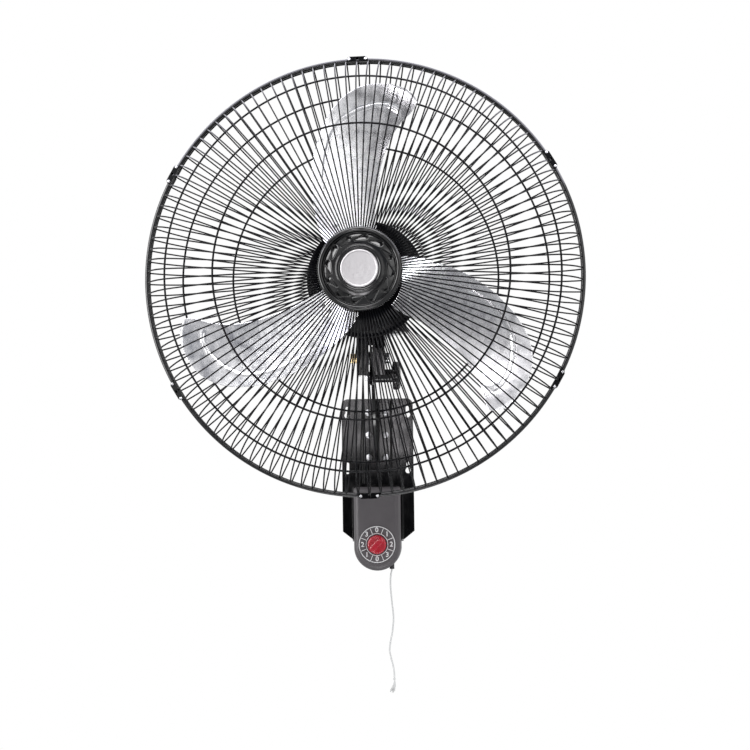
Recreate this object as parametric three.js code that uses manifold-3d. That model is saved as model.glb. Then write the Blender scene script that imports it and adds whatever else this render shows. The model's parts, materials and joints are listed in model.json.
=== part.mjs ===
// A wall mounted oscillating fan, in millimetres, +Z up.
// The wall is the plane Y = 0, the origin is the centre of the wall plate's back face, and the
// fan looks along -Y with +X to its right. Three groups place the pieces: the wall group at the
// origin, the neck group at the tilt bolt and the head group at the centre of the guard's rim.

import * as THREE from "three";
import { mergeGeometries, mergeVertices } from "three/addons/utils/BufferGeometryUtils.js";
import Module from "manifold-3d";

const wasm = await Module();
wasm.setup();

// ---------------------------------------------------------------- driving dimensions

const GAP = 0.3;              // between pieces that rest on each other
const SHEET = 2.4;            // wall plate and pressed brackets

const RIM_REACH = 225;        // wall to the plane of the guard's front rim ring
const AXIS_UP = 219;          // plate centre up to the fan's axis
const BOLT_REACH = 100;       // wall to the tilt bolt and to the oscillation pin
const BOLT_UP = 134.6;        // plate centre up to the tilt bolt
const BOLT_DOWN = AXIS_UP - BOLT_UP;
const PIN_BACK = RIM_REACH - BOLT_REACH;

// Guard
const WIRES = 120;            // spokes in each grille
const WIRE_STEP = 360 / WIRES;
const FIRST_WIRE = 0.85;      // degrees from +X, seen from the front
const SPOKE_R = 0.95;
const RIM_R = 247.6;          // centre line of the front rim ring
const RIM_WIRE_R = 2.7;
const REAR_RIM_BACK = 6.6;    // front rim ring back to the rear one
const REAR_RIM_WIRE_R = 2.4;
const HUB_RING_R = 44;
const HUB_RING_FRONT = 58;    // hub ring in front of the rim plane
const HUB_RING_WIRE_R = 1.7;
const BACK_RING = { inner: 65, outer: 68.2, front: 32.6, back: 35.4 };
const SUPPORT_R = 1.15;       // the thin rings that tie the spokes
const FRONT_SHOULDER = { r: RIM_R - 24.6, y: -34.5 };
const REAR_SHOULDER = { r: RIM_R - 27.6, y: 24.5 };
const CLIPS = 6;
const FIRST_CLIP = FIRST_WIRE + 30 * WIRE_STEP;

// Fan
const BLADES = 3;
const BLADE_TIP = RIM_R - 26.1;
const BLADE_SHEET = 1.3;
const SHAFT_R = 5;
const FIT = 0.35;             // radial clearance round a shaft or a bolt

// Motor
const MOTOR_R = 60;
const MOTOR_FRONT = 38;
const MOTOR_SPLIT = 66;
const MOTOR_BACK = 104;
const MOTOR_WALL = 2.2;

// Neck
const YOKE_HALF = 17;         // half width over the cheeks
const YOKE_DEPTH = 18;        // half depth, front to back
const YOKE_TOP = 27.4;        // above the tilt bolt
const YOKE_BOTTOM = -21.6;
const CHEEK = 3;
const LINK_SPACE = 5;         // between the yoke and the motor bracket
const PLATE_T = 4;            // motor bracket's base plate
const PIN_R = 5;
const BOLT_R = 4;
const CLAMP_R = 3;            // clamp screw
const CLAMP_DOWN = 21.6;      // tilt bolt down to the clamp screw
const ARM_HALF = 1.7;         // half thickness of the upright web
const TILT = { up: 10, down: 25 };   // degrees that the head tips back and forwards

// Oscillation crank: centre relative to the oscillation pin, and the linkage
const CRANK = { x: 22, y: 25, radius: 9.64, angle: 122.57 };
const LINK_FOOT = { radius: 15, angle: 120 };
const LINK_SLACK = 2.2;       // play of the link's open eye round the crank pin

// Wall side
const PLATE = { half: 45.5, top: 90, thick: 2.5, corner: 8, cutX: 15, cutZ: 12 };
const HAT = { half: 28.5, raised: 18, rise: 7, top: 88, bottom: -18 };
const BOX = { half: 29.2, top: -22, centre: -96.8, front: 40, back: 5.5, wall: 2 };
const BOX_BEVEL = { in: 5.9, deep: 7 };
const DIAL_Z = -93;

// ---------------------------------------------------------------- geometry helpers

/** Joins a geometry's equal vertices, drops its flat triangles and turns its faces out. */
function closed(geometry) {
  const bare = geometry.clone();
  for (const name of ["normal", "uv"]) {
    if (bare.hasAttribute(name)) bare.deleteAttribute(name);
  }
  const merged = mergeVertices(bare, 1e-4);
  const corners = [];
  for (let i = 0; i < merged.index.count; i += 3) {
    const face = [0, 1, 2].map((k) => merged.index.getX(i + k));
    if (new Set(face).size === 3) corners.push(face);
  }
  const at = (k) => new THREE.Vector3().fromBufferAttribute(merged.attributes.position, k);
  const volume = corners.reduce((sum, [a, b, c]) => sum + at(a).dot(at(b).cross(at(c))), 0);
  if (volume < 0) corners.forEach((face) => face.reverse());
  merged.setIndex(corners.flat());
  return merged;
}

function toManifold(geometry) {
  const solid = closed(geometry);
  return new wasm.Manifold(new wasm.Mesh({
    numProp: 3,
    vertProperties: new Float32Array(solid.attributes.position.array),
    triVerts: new Uint32Array(solid.index.array),
  }));
}

function fromManifold(manifold) {
  const mesh = manifold.getMesh();
  const geometry = new THREE.BufferGeometry();
  geometry.setAttribute("position", new THREE.BufferAttribute(mesh.vertProperties, 3));
  geometry.setIndex(new THREE.BufferAttribute(mesh.triVerts, 1));
  return geometry;
}

const join = (...pieces) => fromManifold(pieces.map(toManifold).reduce((a, b) => a.add(b)));

const cut = (piece, ...tools) => fromManifold(
  tools.map(toManifold).reduce((a, b) => a.subtract(b), toManifold(piece)));

const meet = (a, b) => fromManifold(toManifold(a).intersect(toManifold(b)));

/** A block between two corners. */
function block([x0, x1], [y0, y1], [z0, z1]) {
  const geometry = new THREE.BoxGeometry(x1 - x0, y1 - y0, z1 - z0);
  return geometry.translate((x0 + x1) / 2, (y0 + y1) / 2, (z0 + z1) / 2);
}

/** Turns a solid made along +Z so that it lies along the named axis. */
function along(axis, geometry) {
  const [x, y, z] = [[1, 0, 0], [0, 1, 0], [0, 0, 1]].map((v) => new THREE.Vector3(...v));
  const turned = new THREE.Matrix4();
  if (axis === "x") turned.makeBasis(y, z, x);
  if (axis === "y") turned.makeBasis(x.clone().negate(), z, y);
  return geometry.applyMatrix4(turned);
}

/** A round bar along an axis, from one station to the other, through the point at. */
function rod(axis, radius, [from, to], at = [0, 0, 0], sides = 16, endRadius = radius) {
  const bar = new THREE.CylinderGeometry(endRadius, radius, to - from, sides);
  bar.rotateX(Math.PI / 2).translate(0, 0, (from + to) / 2);
  return along(axis, bar).translate(...at);
}

/** Revolves a closed profile of [radius, y] points about the Y axis. */
function revolved(profile, sides) {
  const points = [...profile, profile[0]].map(([r, y]) => new THREE.Vector2(r, y));
  return closed(new THREE.LatheGeometry(points, sides));
}

/** Points of an arc, in degrees, both ends included. */
function arc(cx, cy, radius, from, to, steps) {
  return Array.from({ length: steps + 1 }, (_, i) => {
    const angle = THREE.MathUtils.degToRad(from + (to - from) * i / steps);
    return [cx + radius * Math.cos(angle), cy + radius * Math.sin(angle)];
  });
}

const circle = (cx, cy, radius, sides) => arc(cx, cy, radius, 0, 360, sides).slice(0, -1);

/** Extrudes an outline with holes, given in the (x, z), (y, z) or (x, y) plane. */
function extruded(plane, outline, [from, to], holes = []) {
  const loop = (points) => points.map(([a, b]) => new THREE.Vector2(a, b));
  const shape = new THREE.Shape(loop(outline));
  shape.holes = holes.map((hole) => new THREE.Path(loop(hole)));
  const solid = new THREE.ExtrudeGeometry(shape, { depth: to - from, bevelEnabled: false });
  if (plane === "xz") return solid.rotateX(Math.PI / 2).translate(0, to, 0);
  solid.translate(0, 0, from);
  return plane === "yz" ? along("x", solid) : solid;
}

/** A closed body through rings of equally many points; the end rings are convex. */
function loft(rings) {
  const sides = rings[0].length;
  const index = [];
  for (let j = 0; j + 1 < rings.length; j += 1) {
    for (let i = 0; i < sides; i += 1) {
      const [a, b] = [j * sides + i, j * sides + (i + 1) % sides];
      index.push(a, b, b + sides, a, b + sides, a + sides);
    }
  }
  const last = (rings.length - 1) * sides;
  for (let i = 1; i + 1 < sides; i += 1) {
    index.push(0, i + 1, i, last, last + i, last + i + 1);
  }
  const geometry = new THREE.BufferGeometry();
  geometry.setAttribute("position", new THREE.Float32BufferAttribute(rings.flat(2), 3));
  geometry.setIndex(index);
  return closed(geometry);
}

/** A sheet between two faces, each a function of u and v from 0 to 1. */
function sheet(front, back, columns, rows) {
  const points = [];
  for (const face of [front, back]) {
    for (let j = 0; j <= rows; j += 1) {
      for (let i = 0; i <= columns; i += 1) points.push(face(i / columns, j / rows));
    }
  }
  const at = (side, i, j) => side * (columns + 1) * (rows + 1) + j * (columns + 1) + i;
  const index = [];
  const quad = (a, b, c, d) => index.push(a, b, c, a, c, d);
  for (let j = 0; j < rows; j += 1) {
    for (let i = 0; i < columns; i += 1) {
      quad(at(0, i, j), at(0, i + 1, j), at(0, i + 1, j + 1), at(0, i, j + 1));
      quad(at(1, i, j), at(1, i, j + 1), at(1, i + 1, j + 1), at(1, i + 1, j));
    }
    quad(at(0, 0, j), at(0, 0, j + 1), at(1, 0, j + 1), at(1, 0, j));
    quad(at(0, columns, j), at(1, columns, j), at(1, columns, j + 1), at(0, columns, j + 1));
  }
  for (let i = 0; i < columns; i += 1) {
    quad(at(0, i, 0), at(1, i, 0), at(1, i + 1, 0), at(0, i + 1, 0));
    quad(at(0, i, rows), at(0, i + 1, rows), at(1, i + 1, rows), at(1, i, rows));
  }
  const geometry = new THREE.BufferGeometry();
  geometry.setAttribute("position", new THREE.Float32BufferAttribute(points.flat(), 3));
  geometry.setIndex(index);
  return closed(geometry);
}

/** A curve along straight stretches, stepped so that every corner is met. */
class Polyline extends THREE.Curve {
  constructor(points) {
    super();
    this.points = points.map((point) => new THREE.Vector3(...point));
  }

  getPoint(t) {
    const place = Math.min(Math.max(t, 0), 1) * (this.points.length - 1);
    const k = Math.min(Math.floor(place), this.points.length - 2);
    return this.points[k].clone().lerp(this.points[k + 1], place - k);
  }

  getUtoTmapping(u) {
    return u;
  }
}

/** A bar of the given number of sides along a list of points. */
function bar(points, radius, sides) {
  const section = circle(0, 0, radius, sides).map(([a, b]) => new THREE.Vector2(a, b));
  const settings = { steps: points.length - 1, extrudePath: new Polyline(points) };
  return closed(new THREE.ExtrudeGeometry(new THREE.Shape(section), settings));
}

/** Turns a copy of a geometry about the fan's axis, anticlockwise seen from the front. */
const turned = (geometry, degrees) => (
  geometry.clone().rotateY(-THREE.MathUtils.degToRad(degrees)));

/** The section of a wire ring; its first side looks in the direction facing, in degrees. */
const wireSection = (radius, y, wire, sides, facing) => (
  arc(radius, y, wire, facing - 180 / sides, facing - 180 / sides + 360, sides).slice(0, -1));

/** A fixed number of copies, evenly round the fan's axis, as one geometry. */
function patterned(geometry, count, first = 0) {
  const copies = Array.from({ length: count }, (_, k) => turned(geometry, first + 360 * k / count));
  return closed(mergeGeometries(copies));
}

// ---------------------------------------------------------------- guard

const FRONT_PROFILE = [
  [HUB_RING_R, -HUB_RING_FRONT], [RIM_R - 82.6, -50], [FRONT_SHOULDER.r, FRONT_SHOULDER.y],
  [RIM_R, 0]];
const REAR_PROFILE = [
  [BACK_RING.outer - 2, (BACK_RING.front + BACK_RING.back) / 2],
  [REAR_SHOULDER.r, REAR_SHOULDER.y], [RIM_R, REAR_RIM_BACK]];

const RING_STEP = 3 * WIRE_STEP;
const RING_CORNERS = 360 / RING_STEP;
const SPOKE_SIDES = 3;

/** A point of the fan at a radius and y, at an angle seen from the front. */
function polar([r, y], degrees) {
  const angle = THREE.MathUtils.degToRad(degrees);
  return new THREE.Vector3(r * Math.cos(angle), y, r * Math.sin(angle));
}

/** The angle of a ring's corner, midway between two spokes. */
const cornerAngle = (k) => FIRST_WIRE - WIRE_STEP / 2 + RING_STEP * (k % RING_CORNERS);

/**
 * A spoke's corner points at every node of its profile. It aims at the middle of each ring's
 * straight stretch, from whose middle it stands off by an angle, and its end stretches run on
 * until they meet the flats of the two rings, so that spoke and ring share those corners.
 */
function spokeSections(profile, degrees, standOff, flats) {
  const cosine = (angle) => Math.cos(THREE.MathUtils.degToRad(angle));
  const chord = cosine(RING_STEP / 2) / cosine(standOff);
  const nodes = profile.map(([r, y], k) => (
    polar([k % (profile.length - 1) ? r : r * chord, y], degrees)));
  const across = polar([1, 0], degrees + 90);
  const stretch = (k) => nodes[k + 1].clone().sub(nodes[k]).normalize();
  const inner = nodes.slice(1, -1).map((node, k) => {
    const normal = stretch(k).add(stretch(k + 1)).normalize().cross(across);
    return circle(0, 0, SPOKE_R, SPOKE_SIDES).map(([a, b]) => (
      node.clone().addScaledVector(normal, a).addScaledVector(across, b)));
  });
  const run = (section, direction, flat) => section.map((point) => (
    point.clone().addScaledVector(
      direction, -flat.distanceToPoint(point) / flat.normal.dot(direction))));
  return [
    run(inner[0], stretch(0), flats[0]), ...inner,
    run(inner.at(-1), stretch(nodes.length - 2), flats[1]),
  ];
}

/** A grille of spokes between two rings, whose first section sides look at the spokes. */
function grille(profile, ringSections) {
  const corners = [];
  const face = (a, b, c, inside) => {
    const normal = b.clone().sub(a).cross(c.clone().sub(a));
    corners.push(...(normal.dot(a.clone().sub(inside)) > 0 ? [a, b, c] : [a, c, b]));
  };
  for (let k = 0; k < RING_CORNERS; k += 1) {
    const [start, end] = [cornerAngle(k), cornerAngle(k + 1)];
    const flats = ringSections.map(([p, q]) => (
      new THREE.Plane().setFromCoplanarPoints(polar(p, start), polar(q, start), polar(p, end))));
    const spokes = [-1, 0, 1].map((i) => (
      spokeSections(profile, start + RING_STEP / 2 + WIRE_STEP * i, WIRE_STEP * i, flats)));
    for (const sections of spokes) {
      for (let j = 0; j + 1 < sections.length; j += 1) {
        const [from, to] = [sections[j], sections[j + 1]];
        const inside = [...from, ...to].reduce((sum, v) => sum.add(v), new THREE.Vector3());
        inside.divideScalar(2 * SPOKE_SIDES);
        from.forEach((a, m) => {
          const n = (m + 1) % SPOKE_SIDES;
          face(a, from[n], to[n], inside);
          face(a, to[n], to[m], inside);
        });
      }
    }
    ringSections.forEach((section, ring) => {
      const middle = [0, 1].map((i) => section.reduce((sum, p) => sum + p[i], 0) / section.length);
      const inside = polar(middle, start).add(polar(middle, end)).divideScalar(2);
      section.forEach((p, m) => {
        const q = section[(m + 1) % section.length];
        const quad = [polar(p, start), polar(q, start), polar(q, end), polar(p, end)];
        const holes = m > 0 ? [] : spokes.map((sections) => (ring ? sections.at(-1) : sections[0]));
        const along = quad[3].clone().sub(quad[0]).normalize();
        const up = quad[1].clone().sub(quad[0]);
        up.addScaledVector(along, -up.dot(along)).normalize();
        const flat = (v) => new THREE.Vector2(v.dot(along), v.dot(up));
        const points = [...quad, ...holes.flat()];
        for (const [a, b, c] of THREE.ShapeUtils.triangulateShape(
          quad.map(flat), holes.map((hole) => hole.map(flat)))) {
          face(points[a], points[b], points[c], inside);
        }
      });
    });
  }
  const geometry = new THREE.BufferGeometry();
  return closed(geometry.setFromPoints(corners));
}

const frontGrille = () => grille(FRONT_PROFILE, [
  wireSection(HUB_RING_R, -HUB_RING_FRONT, HUB_RING_WIRE_R, 4, 0),
  wireSection(RIM_R, 0, RIM_WIRE_R, 5, 234.5),
]);

function rearGrille() {
  const { inner, outer, front, back } = BACK_RING;
  return grille(REAR_PROFILE, [
    [[outer, front], [outer, back], [inner, back], [inner, front]],
    wireSection(RIM_R, REAR_RIM_BACK, REAR_RIM_WIRE_R, 5, 147),
  ]);
}

/**
 * A support ring inside the guard, with a corner of its section towards the spokes. A spoke's
 * section has a corner at its front and a flat at its back.
 */
function supportRing(radius, profile, inwards) {
  const k = profile.findIndex(([r]) => r > radius);
  const [[r0, y0], [r1, y1]] = [profile[k - 1], profile[k]];
  const length = Math.hypot(r1 - r0, y1 - y0);
  const off = (inwards > 0 ? SPOKE_R / 2 : SPOKE_R) + SUPPORT_R + GAP;
  const y = y0 + (y1 - y0) * (radius - r0) / (r1 - r0);
  const r = radius - inwards * off * (y1 - y0) / length;
  const height = y + inwards * off * (r1 - r0) / length;
  return revolved(wireSection(r, height, SUPPORT_R, 3, 90 * inwards), RING_CORNERS);
}

/** A sheet clip that holds the two rims together, made at angle 0 with +X outwards. */
function rimClip() {
  const inner = RIM_R + RIM_WIRE_R + GAP;
  const t = 1.1;
  const lip = 5.2;
  const front = -RIM_WIRE_R - GAP - t;
  const back = REAR_RIM_BACK + REAR_RIM_WIRE_R + GAP + t;
  const section = [
    [inner + t, front], [inner + t, back], [inner - lip, back], [inner - lip, back - t],
    [inner, back - t], [inner, front + t], [inner - lip, front + t], [inner - lip, front],
  ];
  const half = 12;
  const strip = extruded("xy", section, [-half, half]);
  const bevels = [-1, 1].map((side) => extruded("xz", [
    [inner - 2.4, side * (half + 1)], [inner + t + 1, side * (half + 1)],
    [inner + t + 1, side * (half - 4.4)],
  ], [front - 1, back + 1]));
  const wireSlot = block([inner - lip - 1, inner - 0.2], [front - 1, front + t + 1], [-1.5, 1.5]);
  const backSlot = block([inner - lip - 1, inner - 0.2], [back - t - 1, back + 1], [-1.5, 1.5]);
  const bosses = [-9.4, 9.4].map((z) => (
    rod("y", 2.3, [front - 0.9, front + 0.5], [inner - 2, 0, z], 8)));
  return join(cut(strip, ...bevels, wireSlot, backSlot), ...bosses);
}

// ---------------------------------------------------------------- fan

// Edges of the top blade as [share of the blade's reach, degrees from +X], root to tip
const TRAILING = [
  [0.235, 141], [0.388, 127.5], [0.569, 116.6], [0.7, 109.6], [0.835, 102.2], [0.925, 96],
  [0.98, 89.6], [1, 82], [0.989, 76]];
const LEADING = [
  [0.235, 74.5], [0.361, 80.4], [0.492, 81], [0.609, 80.4], [0.713, 78.8], [0.813, 76],
  [0.885, 73.2], [0.939, 72.3], [0.971, 74]];
const BLADE_HALF_RISE = { root: 20, tip: 7.5 };
const BLADE_CAMBER = 6;

const spline = (points) => (
  new THREE.SplineCurve(points.map(([share, angle]) => new THREE.Vector2(share * BLADE_TIP, angle))));
const trailingEdge = spline(TRAILING);
const leadingEdge = spline(LEADING);

/** A point of the blade: u from the trailing to the leading edge, v from root to tip. */
function bladePoint(u, v, lift) {
  const [a, b] = [trailingEdge.getPoint(v), leadingEdge.getPoint(v)];
  const radius = a.x + (b.x - a.x) * u;
  const angle = THREE.MathUtils.degToRad(a.y + (b.y - a.y) * u);
  const root = TRAILING[0][0] * BLADE_TIP;
  const span = (radius - root) / (BLADE_TIP - root);
  const rise = BLADE_HALF_RISE.root + (BLADE_HALF_RISE.tip - BLADE_HALF_RISE.root) * span;
  const chord = Math.min(1, (a.y - b.y) / 30);
  const camber = BLADE_CAMBER * 4 * u * (1 - u) * chord * (1 - 0.5 * span);
  const depth = rise * (2 * u - 1) * chord + camber + lift;
  return [radius * Math.cos(angle), depth, radius * Math.sin(angle)];
}

const BLADE_ROWS = 10;

const bladeSheet = () => sheet(
  (u, v) => bladePoint(u, v, 0), (u, v) => bladePoint(u, v, BLADE_SHEET), 5, BLADE_ROWS);

/** The boss on the shaft with three pressed arms that lie against the blades' rear faces. */
function bladeHub() {
  const boss = revolved([
    [SHAFT_R + FIT, -26], [16, -26], [20, 4], [20, 18], [SHAFT_R + FIT, 18],
  ], 16);
  const armRows = 3;
  const arm = (thickness) => (s, t) => {
    const u = 0.2 + 0.4 * s;
    const lift = BLADE_SHEET + GAP + thickness;
    if (t === 1) return bladePoint(u, 1 / BLADE_ROWS, lift);
    const out = t * armRows / (armRows - 1);
    const root = bladePoint(u, 0, lift);
    const angle = Math.atan2(root[2], root[0]);
    const radius = 14 + (Math.hypot(root[0], root[2]) - 14) * out;
    return [radius * Math.cos(angle), root[1] * (0.35 + 0.65 * out), radius * Math.sin(angle)];
  };
  const arms = patterned(sheet(arm(0), arm(2.4), 2, armRows), BLADES);
  const bore = rod("y", SHAFT_R + FIT, [-40, 40], [0, 0, 0], 16);
  return cut(join(boss, arms), bore);
}

const spinnerNut = () => revolved([
  [4.4, -38.5], [7, -38], [14, -30], [14, -26.4], [4.4, -26.4]], 14);

const shaft = () => revolved([
  [0, -41], [4, -40], [4, -25.4], [SHAFT_R, -25.4], [SHAFT_R, 100], [0, 100]], 12);

const ROTOR_R = 29.4;

const rotor = () => revolved([
  [SHAFT_R + FIT, 54], [ROTOR_R - 5, 54], [ROTOR_R, 58], [ROTOR_R, 82], [ROTOR_R - 5, 86],
  [SHAFT_R + FIT, 86]], 14);

// ---------------------------------------------------------------- hub cap

const CAP = { r: 47, back: -59.6, face: -64, lip: -66.2, badge: 21.4 };

const SCOOPS = 12;
const FIRST_SCOOP = -10;
const SCOOP = { r: 35.8, round: 2.9, tail: 31.6, sweep: 21, depth: 0.9 };

/** One scoop of the cap's swirl: a teardrop, round and further out at its clockwise end. */
function scoop(angle) {
  const at = (radius, degrees) => polar([radius, 0], degrees);
  const centre = at(SCOOP.r, angle);
  const tail = at(SCOOP.tail, angle + SCOOP.sweep);
  const away = THREE.MathUtils.radToDeg(Math.atan2(centre.z - tail.z, centre.x - tail.x));
  const outline = [...arc(centre.x, centre.z, SCOOP.round, away - 95, away + 95, 4), [tail.x, tail.z]];
  return extruded("xz", outline, [CAP.face - 3, CAP.face + SCOOP.depth]);
}

function hubCap() {
  const { r, back, face, lip, badge } = CAP;
  const seat = badge + GAP;
  const dish = revolved([
    [0, back - 1.6], [seat, back - 1.6], [seat, face - 1.6], [26, face], [39.8, face],
    [41.8, lip + 0.3], [44.4, lip + 0.3], [46.6, lip + 2.6], [r, back], [44, back],
    [42, face + 1.8], [25, face + 1.8], [23, back], [0, back],
  ], 30);
  return cut(dish, ...Array.from({ length: SCOOPS }, (_, k) => scoop(FIRST_SCOOP + 360 * k / SCOOPS)));
}

const hubBadge = () => revolved([
  [0, CAP.lip + 0.2], [20.2, CAP.lip + 0.4], [CAP.badge, CAP.lip + 1.4],
  [CAP.badge, CAP.back - 1.6 - GAP], [0, CAP.back - 1.6 - GAP]], 28);

// ---------------------------------------------------------------- motor

const BEARING = { r: 12.7, long: 8.6 };
const SEAT = { inner: BEARING.r + 0.6, outer: BEARING.r + 3.3 };
const MOTOR_BORE = MOTOR_R - MOTOR_WALL;

function motorFrontCover() {
  const face = MOTOR_FRONT + MOTOR_WALL;
  return revolved([
    [SHAFT_R + 3, MOTOR_FRONT], [MOTOR_R - 4, MOTOR_FRONT], [MOTOR_R, MOTOR_FRONT + 4],
    [MOTOR_R, MOTOR_SPLIT], [MOTOR_BORE, MOTOR_SPLIT], [MOTOR_BORE, face + 3], [MOTOR_R - 5, face],
    [SEAT.outer, face], [SEAT.outer, face + BEARING.long + 1], [SEAT.inner, face + BEARING.long + 1],
    [SEAT.inner, face], [SHAFT_R + 3, face],
  ], 24);
}

function motorRearCover() {
  const face = MOTOR_BACK - MOTOR_WALL;
  const lip = face - BEARING.long - 2.2;
  const shell = revolved([
    [MOTOR_R, MOTOR_SPLIT + GAP], [MOTOR_R, MOTOR_BACK - 22], [MOTOR_R - 5, MOTOR_BACK - 8],
    [MOTOR_R - 15, MOTOR_BACK], [0, MOTOR_BACK], [0, face], [SEAT.inner, face], [SEAT.inner, lip],
    [SEAT.outer, lip], [SEAT.outer, face], [MOTOR_R - 15.7, face], [MOTOR_R - 6.8, MOTOR_BACK - 9.4],
    [MOTOR_BORE, MOTOR_BACK - 22.6], [MOTOR_BORE, MOTOR_SPLIT + GAP],
  ], 24);
  const slot = block([MOTOR_R - 10, MOTOR_R + 4], [MOTOR_BACK - 20, MOTOR_BACK - 10], [-2.2, 2.2]);
  return cut(shell, patterned(slot, 10, 12));
}

/** The laminated ring with its two winding ends, inside the covers and round the rotor. */
function stator() {
  const outer = MOTOR_BORE - 0.8;
  const inner = ROTOR_R + 0.6;
  return revolved([
    [inner, 60], [inner + 3, 56], [outer - 10, 56], [outer - 7, 59], [outer, 59], [outer, 81],
    [outer - 7, 81], [outer - 10, 85], [inner + 3, 85], [inner, 81]], 18);
}

const bearing = (from) => revolved([
  [SHAFT_R + FIT, from], [BEARING.r, from], [BEARING.r, from + BEARING.long],
  [SHAFT_R + FIT, from + BEARING.long]], 14);

/** The plate on the motor's front that carries the rear grille by four tabs. */
function grilleSpider() {
  const { inner, outer, back } = BACK_RING;
  const span = [back + GAP, MOTOR_FRONT - GAP];
  const disc = extruded("xz", circle(0, 0, inner - 2, 36), span, [circle(0, 0, 20, 14)]);
  return join(disc, patterned(block([inner - 10, outer - 0.4], span, [-7, 7]), 4, 45));
}

// ---------------------------------------------------------------- oscillation

const UNDER = YOKE_TOP + LINK_SPACE - BOLT_DOWN;   // underside of the motor bracket
const crankCentre = [CRANK.x, PIN_BACK + CRANK.y];

function motorBracket() {
  const floor = extruded("xy", [
    [-17, 105.5], [17, 105.5], ...arc(...crankCentre, 23, -60, 90, 8),
    [-6, crankCentre[1] + 23], [-17, crankCentre[1] + 10],
  ], [UNDER, UNDER + PLATE_T], [circle(...crankCentre, 3.2, 12)]);
  const back = MOTOR_BACK + GAP;
  const wall = extruded("xz", [
    [-20, UNDER], [20, UNDER], [20, 8], ...arc(0, 8, 20, 0, 180, 10).slice(1, -1), [-20, 8],
  ], [back, back + 4]);
  const rib = (x) => extruded("yz", [
    [back + 3, UNDER + 1], [back + 40, UNDER + 1], [back + 40, UNDER + 9], [back + 3, -6],
  ], [x, x + 2.4]);
  const pin = rod("z", PIN_R, [UNDER - 12, UNDER + 1], [0, PIN_BACK, 0], 20);
  const riveted = rod("z", 5.6, [UNDER - 13, UNDER - 10 - GAP], [0, PIN_BACK, 0], 16, 7.4);
  return join(floor, wall, rib(-16.8), rib(-4.5), pin, riveted);
}

function oscillationMotor() {
  const foot = UNDER + PLATE_T + GAP;
  const [x, y] = crankCentre;
  const can = rod("z", 20, [foot, foot + 13], [x, y, 0], 24);
  const hub = rod("z", 6, [foot + 12, foot + 15.5], [x, y, 0], 12);
  return join(can, hub);
}

/** The crank disc turns under the bracket's plate, its stub in the plate's hole. */
function crankDisc() {
  const [x, y] = crankCentre;
  const angle = THREE.MathUtils.degToRad(CRANK.angle);
  const pin = [x + CRANK.radius * Math.cos(angle), y + CRANK.radius * Math.sin(angle), 0];
  const disc = rod("z", CRANK.radius + 3, [UNDER - 2.3, UNDER - GAP], [x, y, 0], 24);
  const stub = rod("z", 2.7, [UNDER - 1, UNDER + PLATE_T - 0.1], [x, y, 0], 12);
  return join(disc, stub, rod("z", 1.5, [UNDER - 5, UNDER - 1], pin, 10));
}

/** The link runs from the yoke's foot pin to the crank pin, whose eye is open wide. */
function crankLink() {
  const [x, y] = crankCentre;
  const at = (radius, degrees) => [
    radius * Math.cos(degrees * Math.PI / 180), radius * Math.sin(degrees * Math.PI / 180)];
  const pin = at(CRANK.radius, CRANK.angle).map((v, k) => v + [x, y][k]);
  const foot = at(LINK_FOOT.radius, LINK_FOOT.angle).map((v, k) => v + [0, PIN_BACK][k]);
  const eye = 1.5 + LINK_SLACK;
  const swing = THREE.MathUtils.radToDeg(Math.atan2(pin[1] - foot[1], pin[0] - foot[0]));
  const outline = [
    ...arc(...foot, 4.4, swing + 90, swing + 270, 8),
    ...arc(...pin, eye + 1.9, swing - 90, swing + 90, 10)];
  return extruded("xy", outline, [UNDER - 4.5, UNDER - 2.9], [
    circle(...foot, 2 + FIT, 10), circle(...pin, eye, 14)]);
}

// ---------------------------------------------------------------- neck (origin at the tilt bolt)

function neckYoke() {
  const depth = [-YOKE_DEPTH, YOKE_DEPTH];
  const shell = block([-YOKE_HALF, YOKE_HALF], depth, [YOKE_BOTTOM, YOKE_TOP]);
  const room = block(
    [CHEEK - YOKE_HALF, YOKE_HALF - CHEEK], [CHEEK - YOKE_DEPTH, 30], [-40, YOKE_TOP - 5]);
  const slit = block([-2.4, 2.4], [-30, 0], [-40, 14.4]);
  const notch = rod("x", 8.4, [0, 30], [0, 0, -CLAMP_DOWN], 20);
  const pinHole = rod("z", PIN_R + FIT, [10, 40], [0, 0, 0], 20);
  const boltHole = rod("x", BOLT_R + FIT, [-30, 30], [0, 0, 0], 16);
  const heel = extruded("yz", [[8, YOKE_BOTTOM - 1], [30, YOKE_BOTTOM - 1], [30, 2]], [-30, 30]);
  const angle = LINK_FOOT.angle * Math.PI / 180;
  const foot = [LINK_FOOT.radius * Math.cos(angle), LINK_FOOT.radius * Math.sin(angle), 0];
  const footPin = rod("z", 2, [YOKE_TOP - 1, YOKE_TOP + 2.4], foot, 10);
  return join(cut(shell, room, slit, notch, pinHole, boltHole, heel), footPin);
}

const tiltBolt = () => join(
  rod("x", BOLT_R, [-26, 18], [0, 0, 0], 16), rod("x", 6.5, [YOKE_HALF + GAP, 22], [0, 0, 0], 20));

const tiltNut = () => along("x", extruded("xy", circle(0, 0, 6.6, 6), [-25.5, -YOKE_HALF - GAP], [
  circle(0, 0, BOLT_R + FIT, 16)]));

/** The spacer between a cheek of the yoke and the web, on the side of the sign. */
function tiltBush(side) {
  const span = [side * (ARM_HALF + GAP), side * (YOKE_HALF - CHEEK - GAP)].sort((a, b) => a - b);
  return along("x", extruded("xy", circle(0, 0, 8, 20), span, [circle(0, 0, BOLT_R + FIT, 16)]));
}

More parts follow.
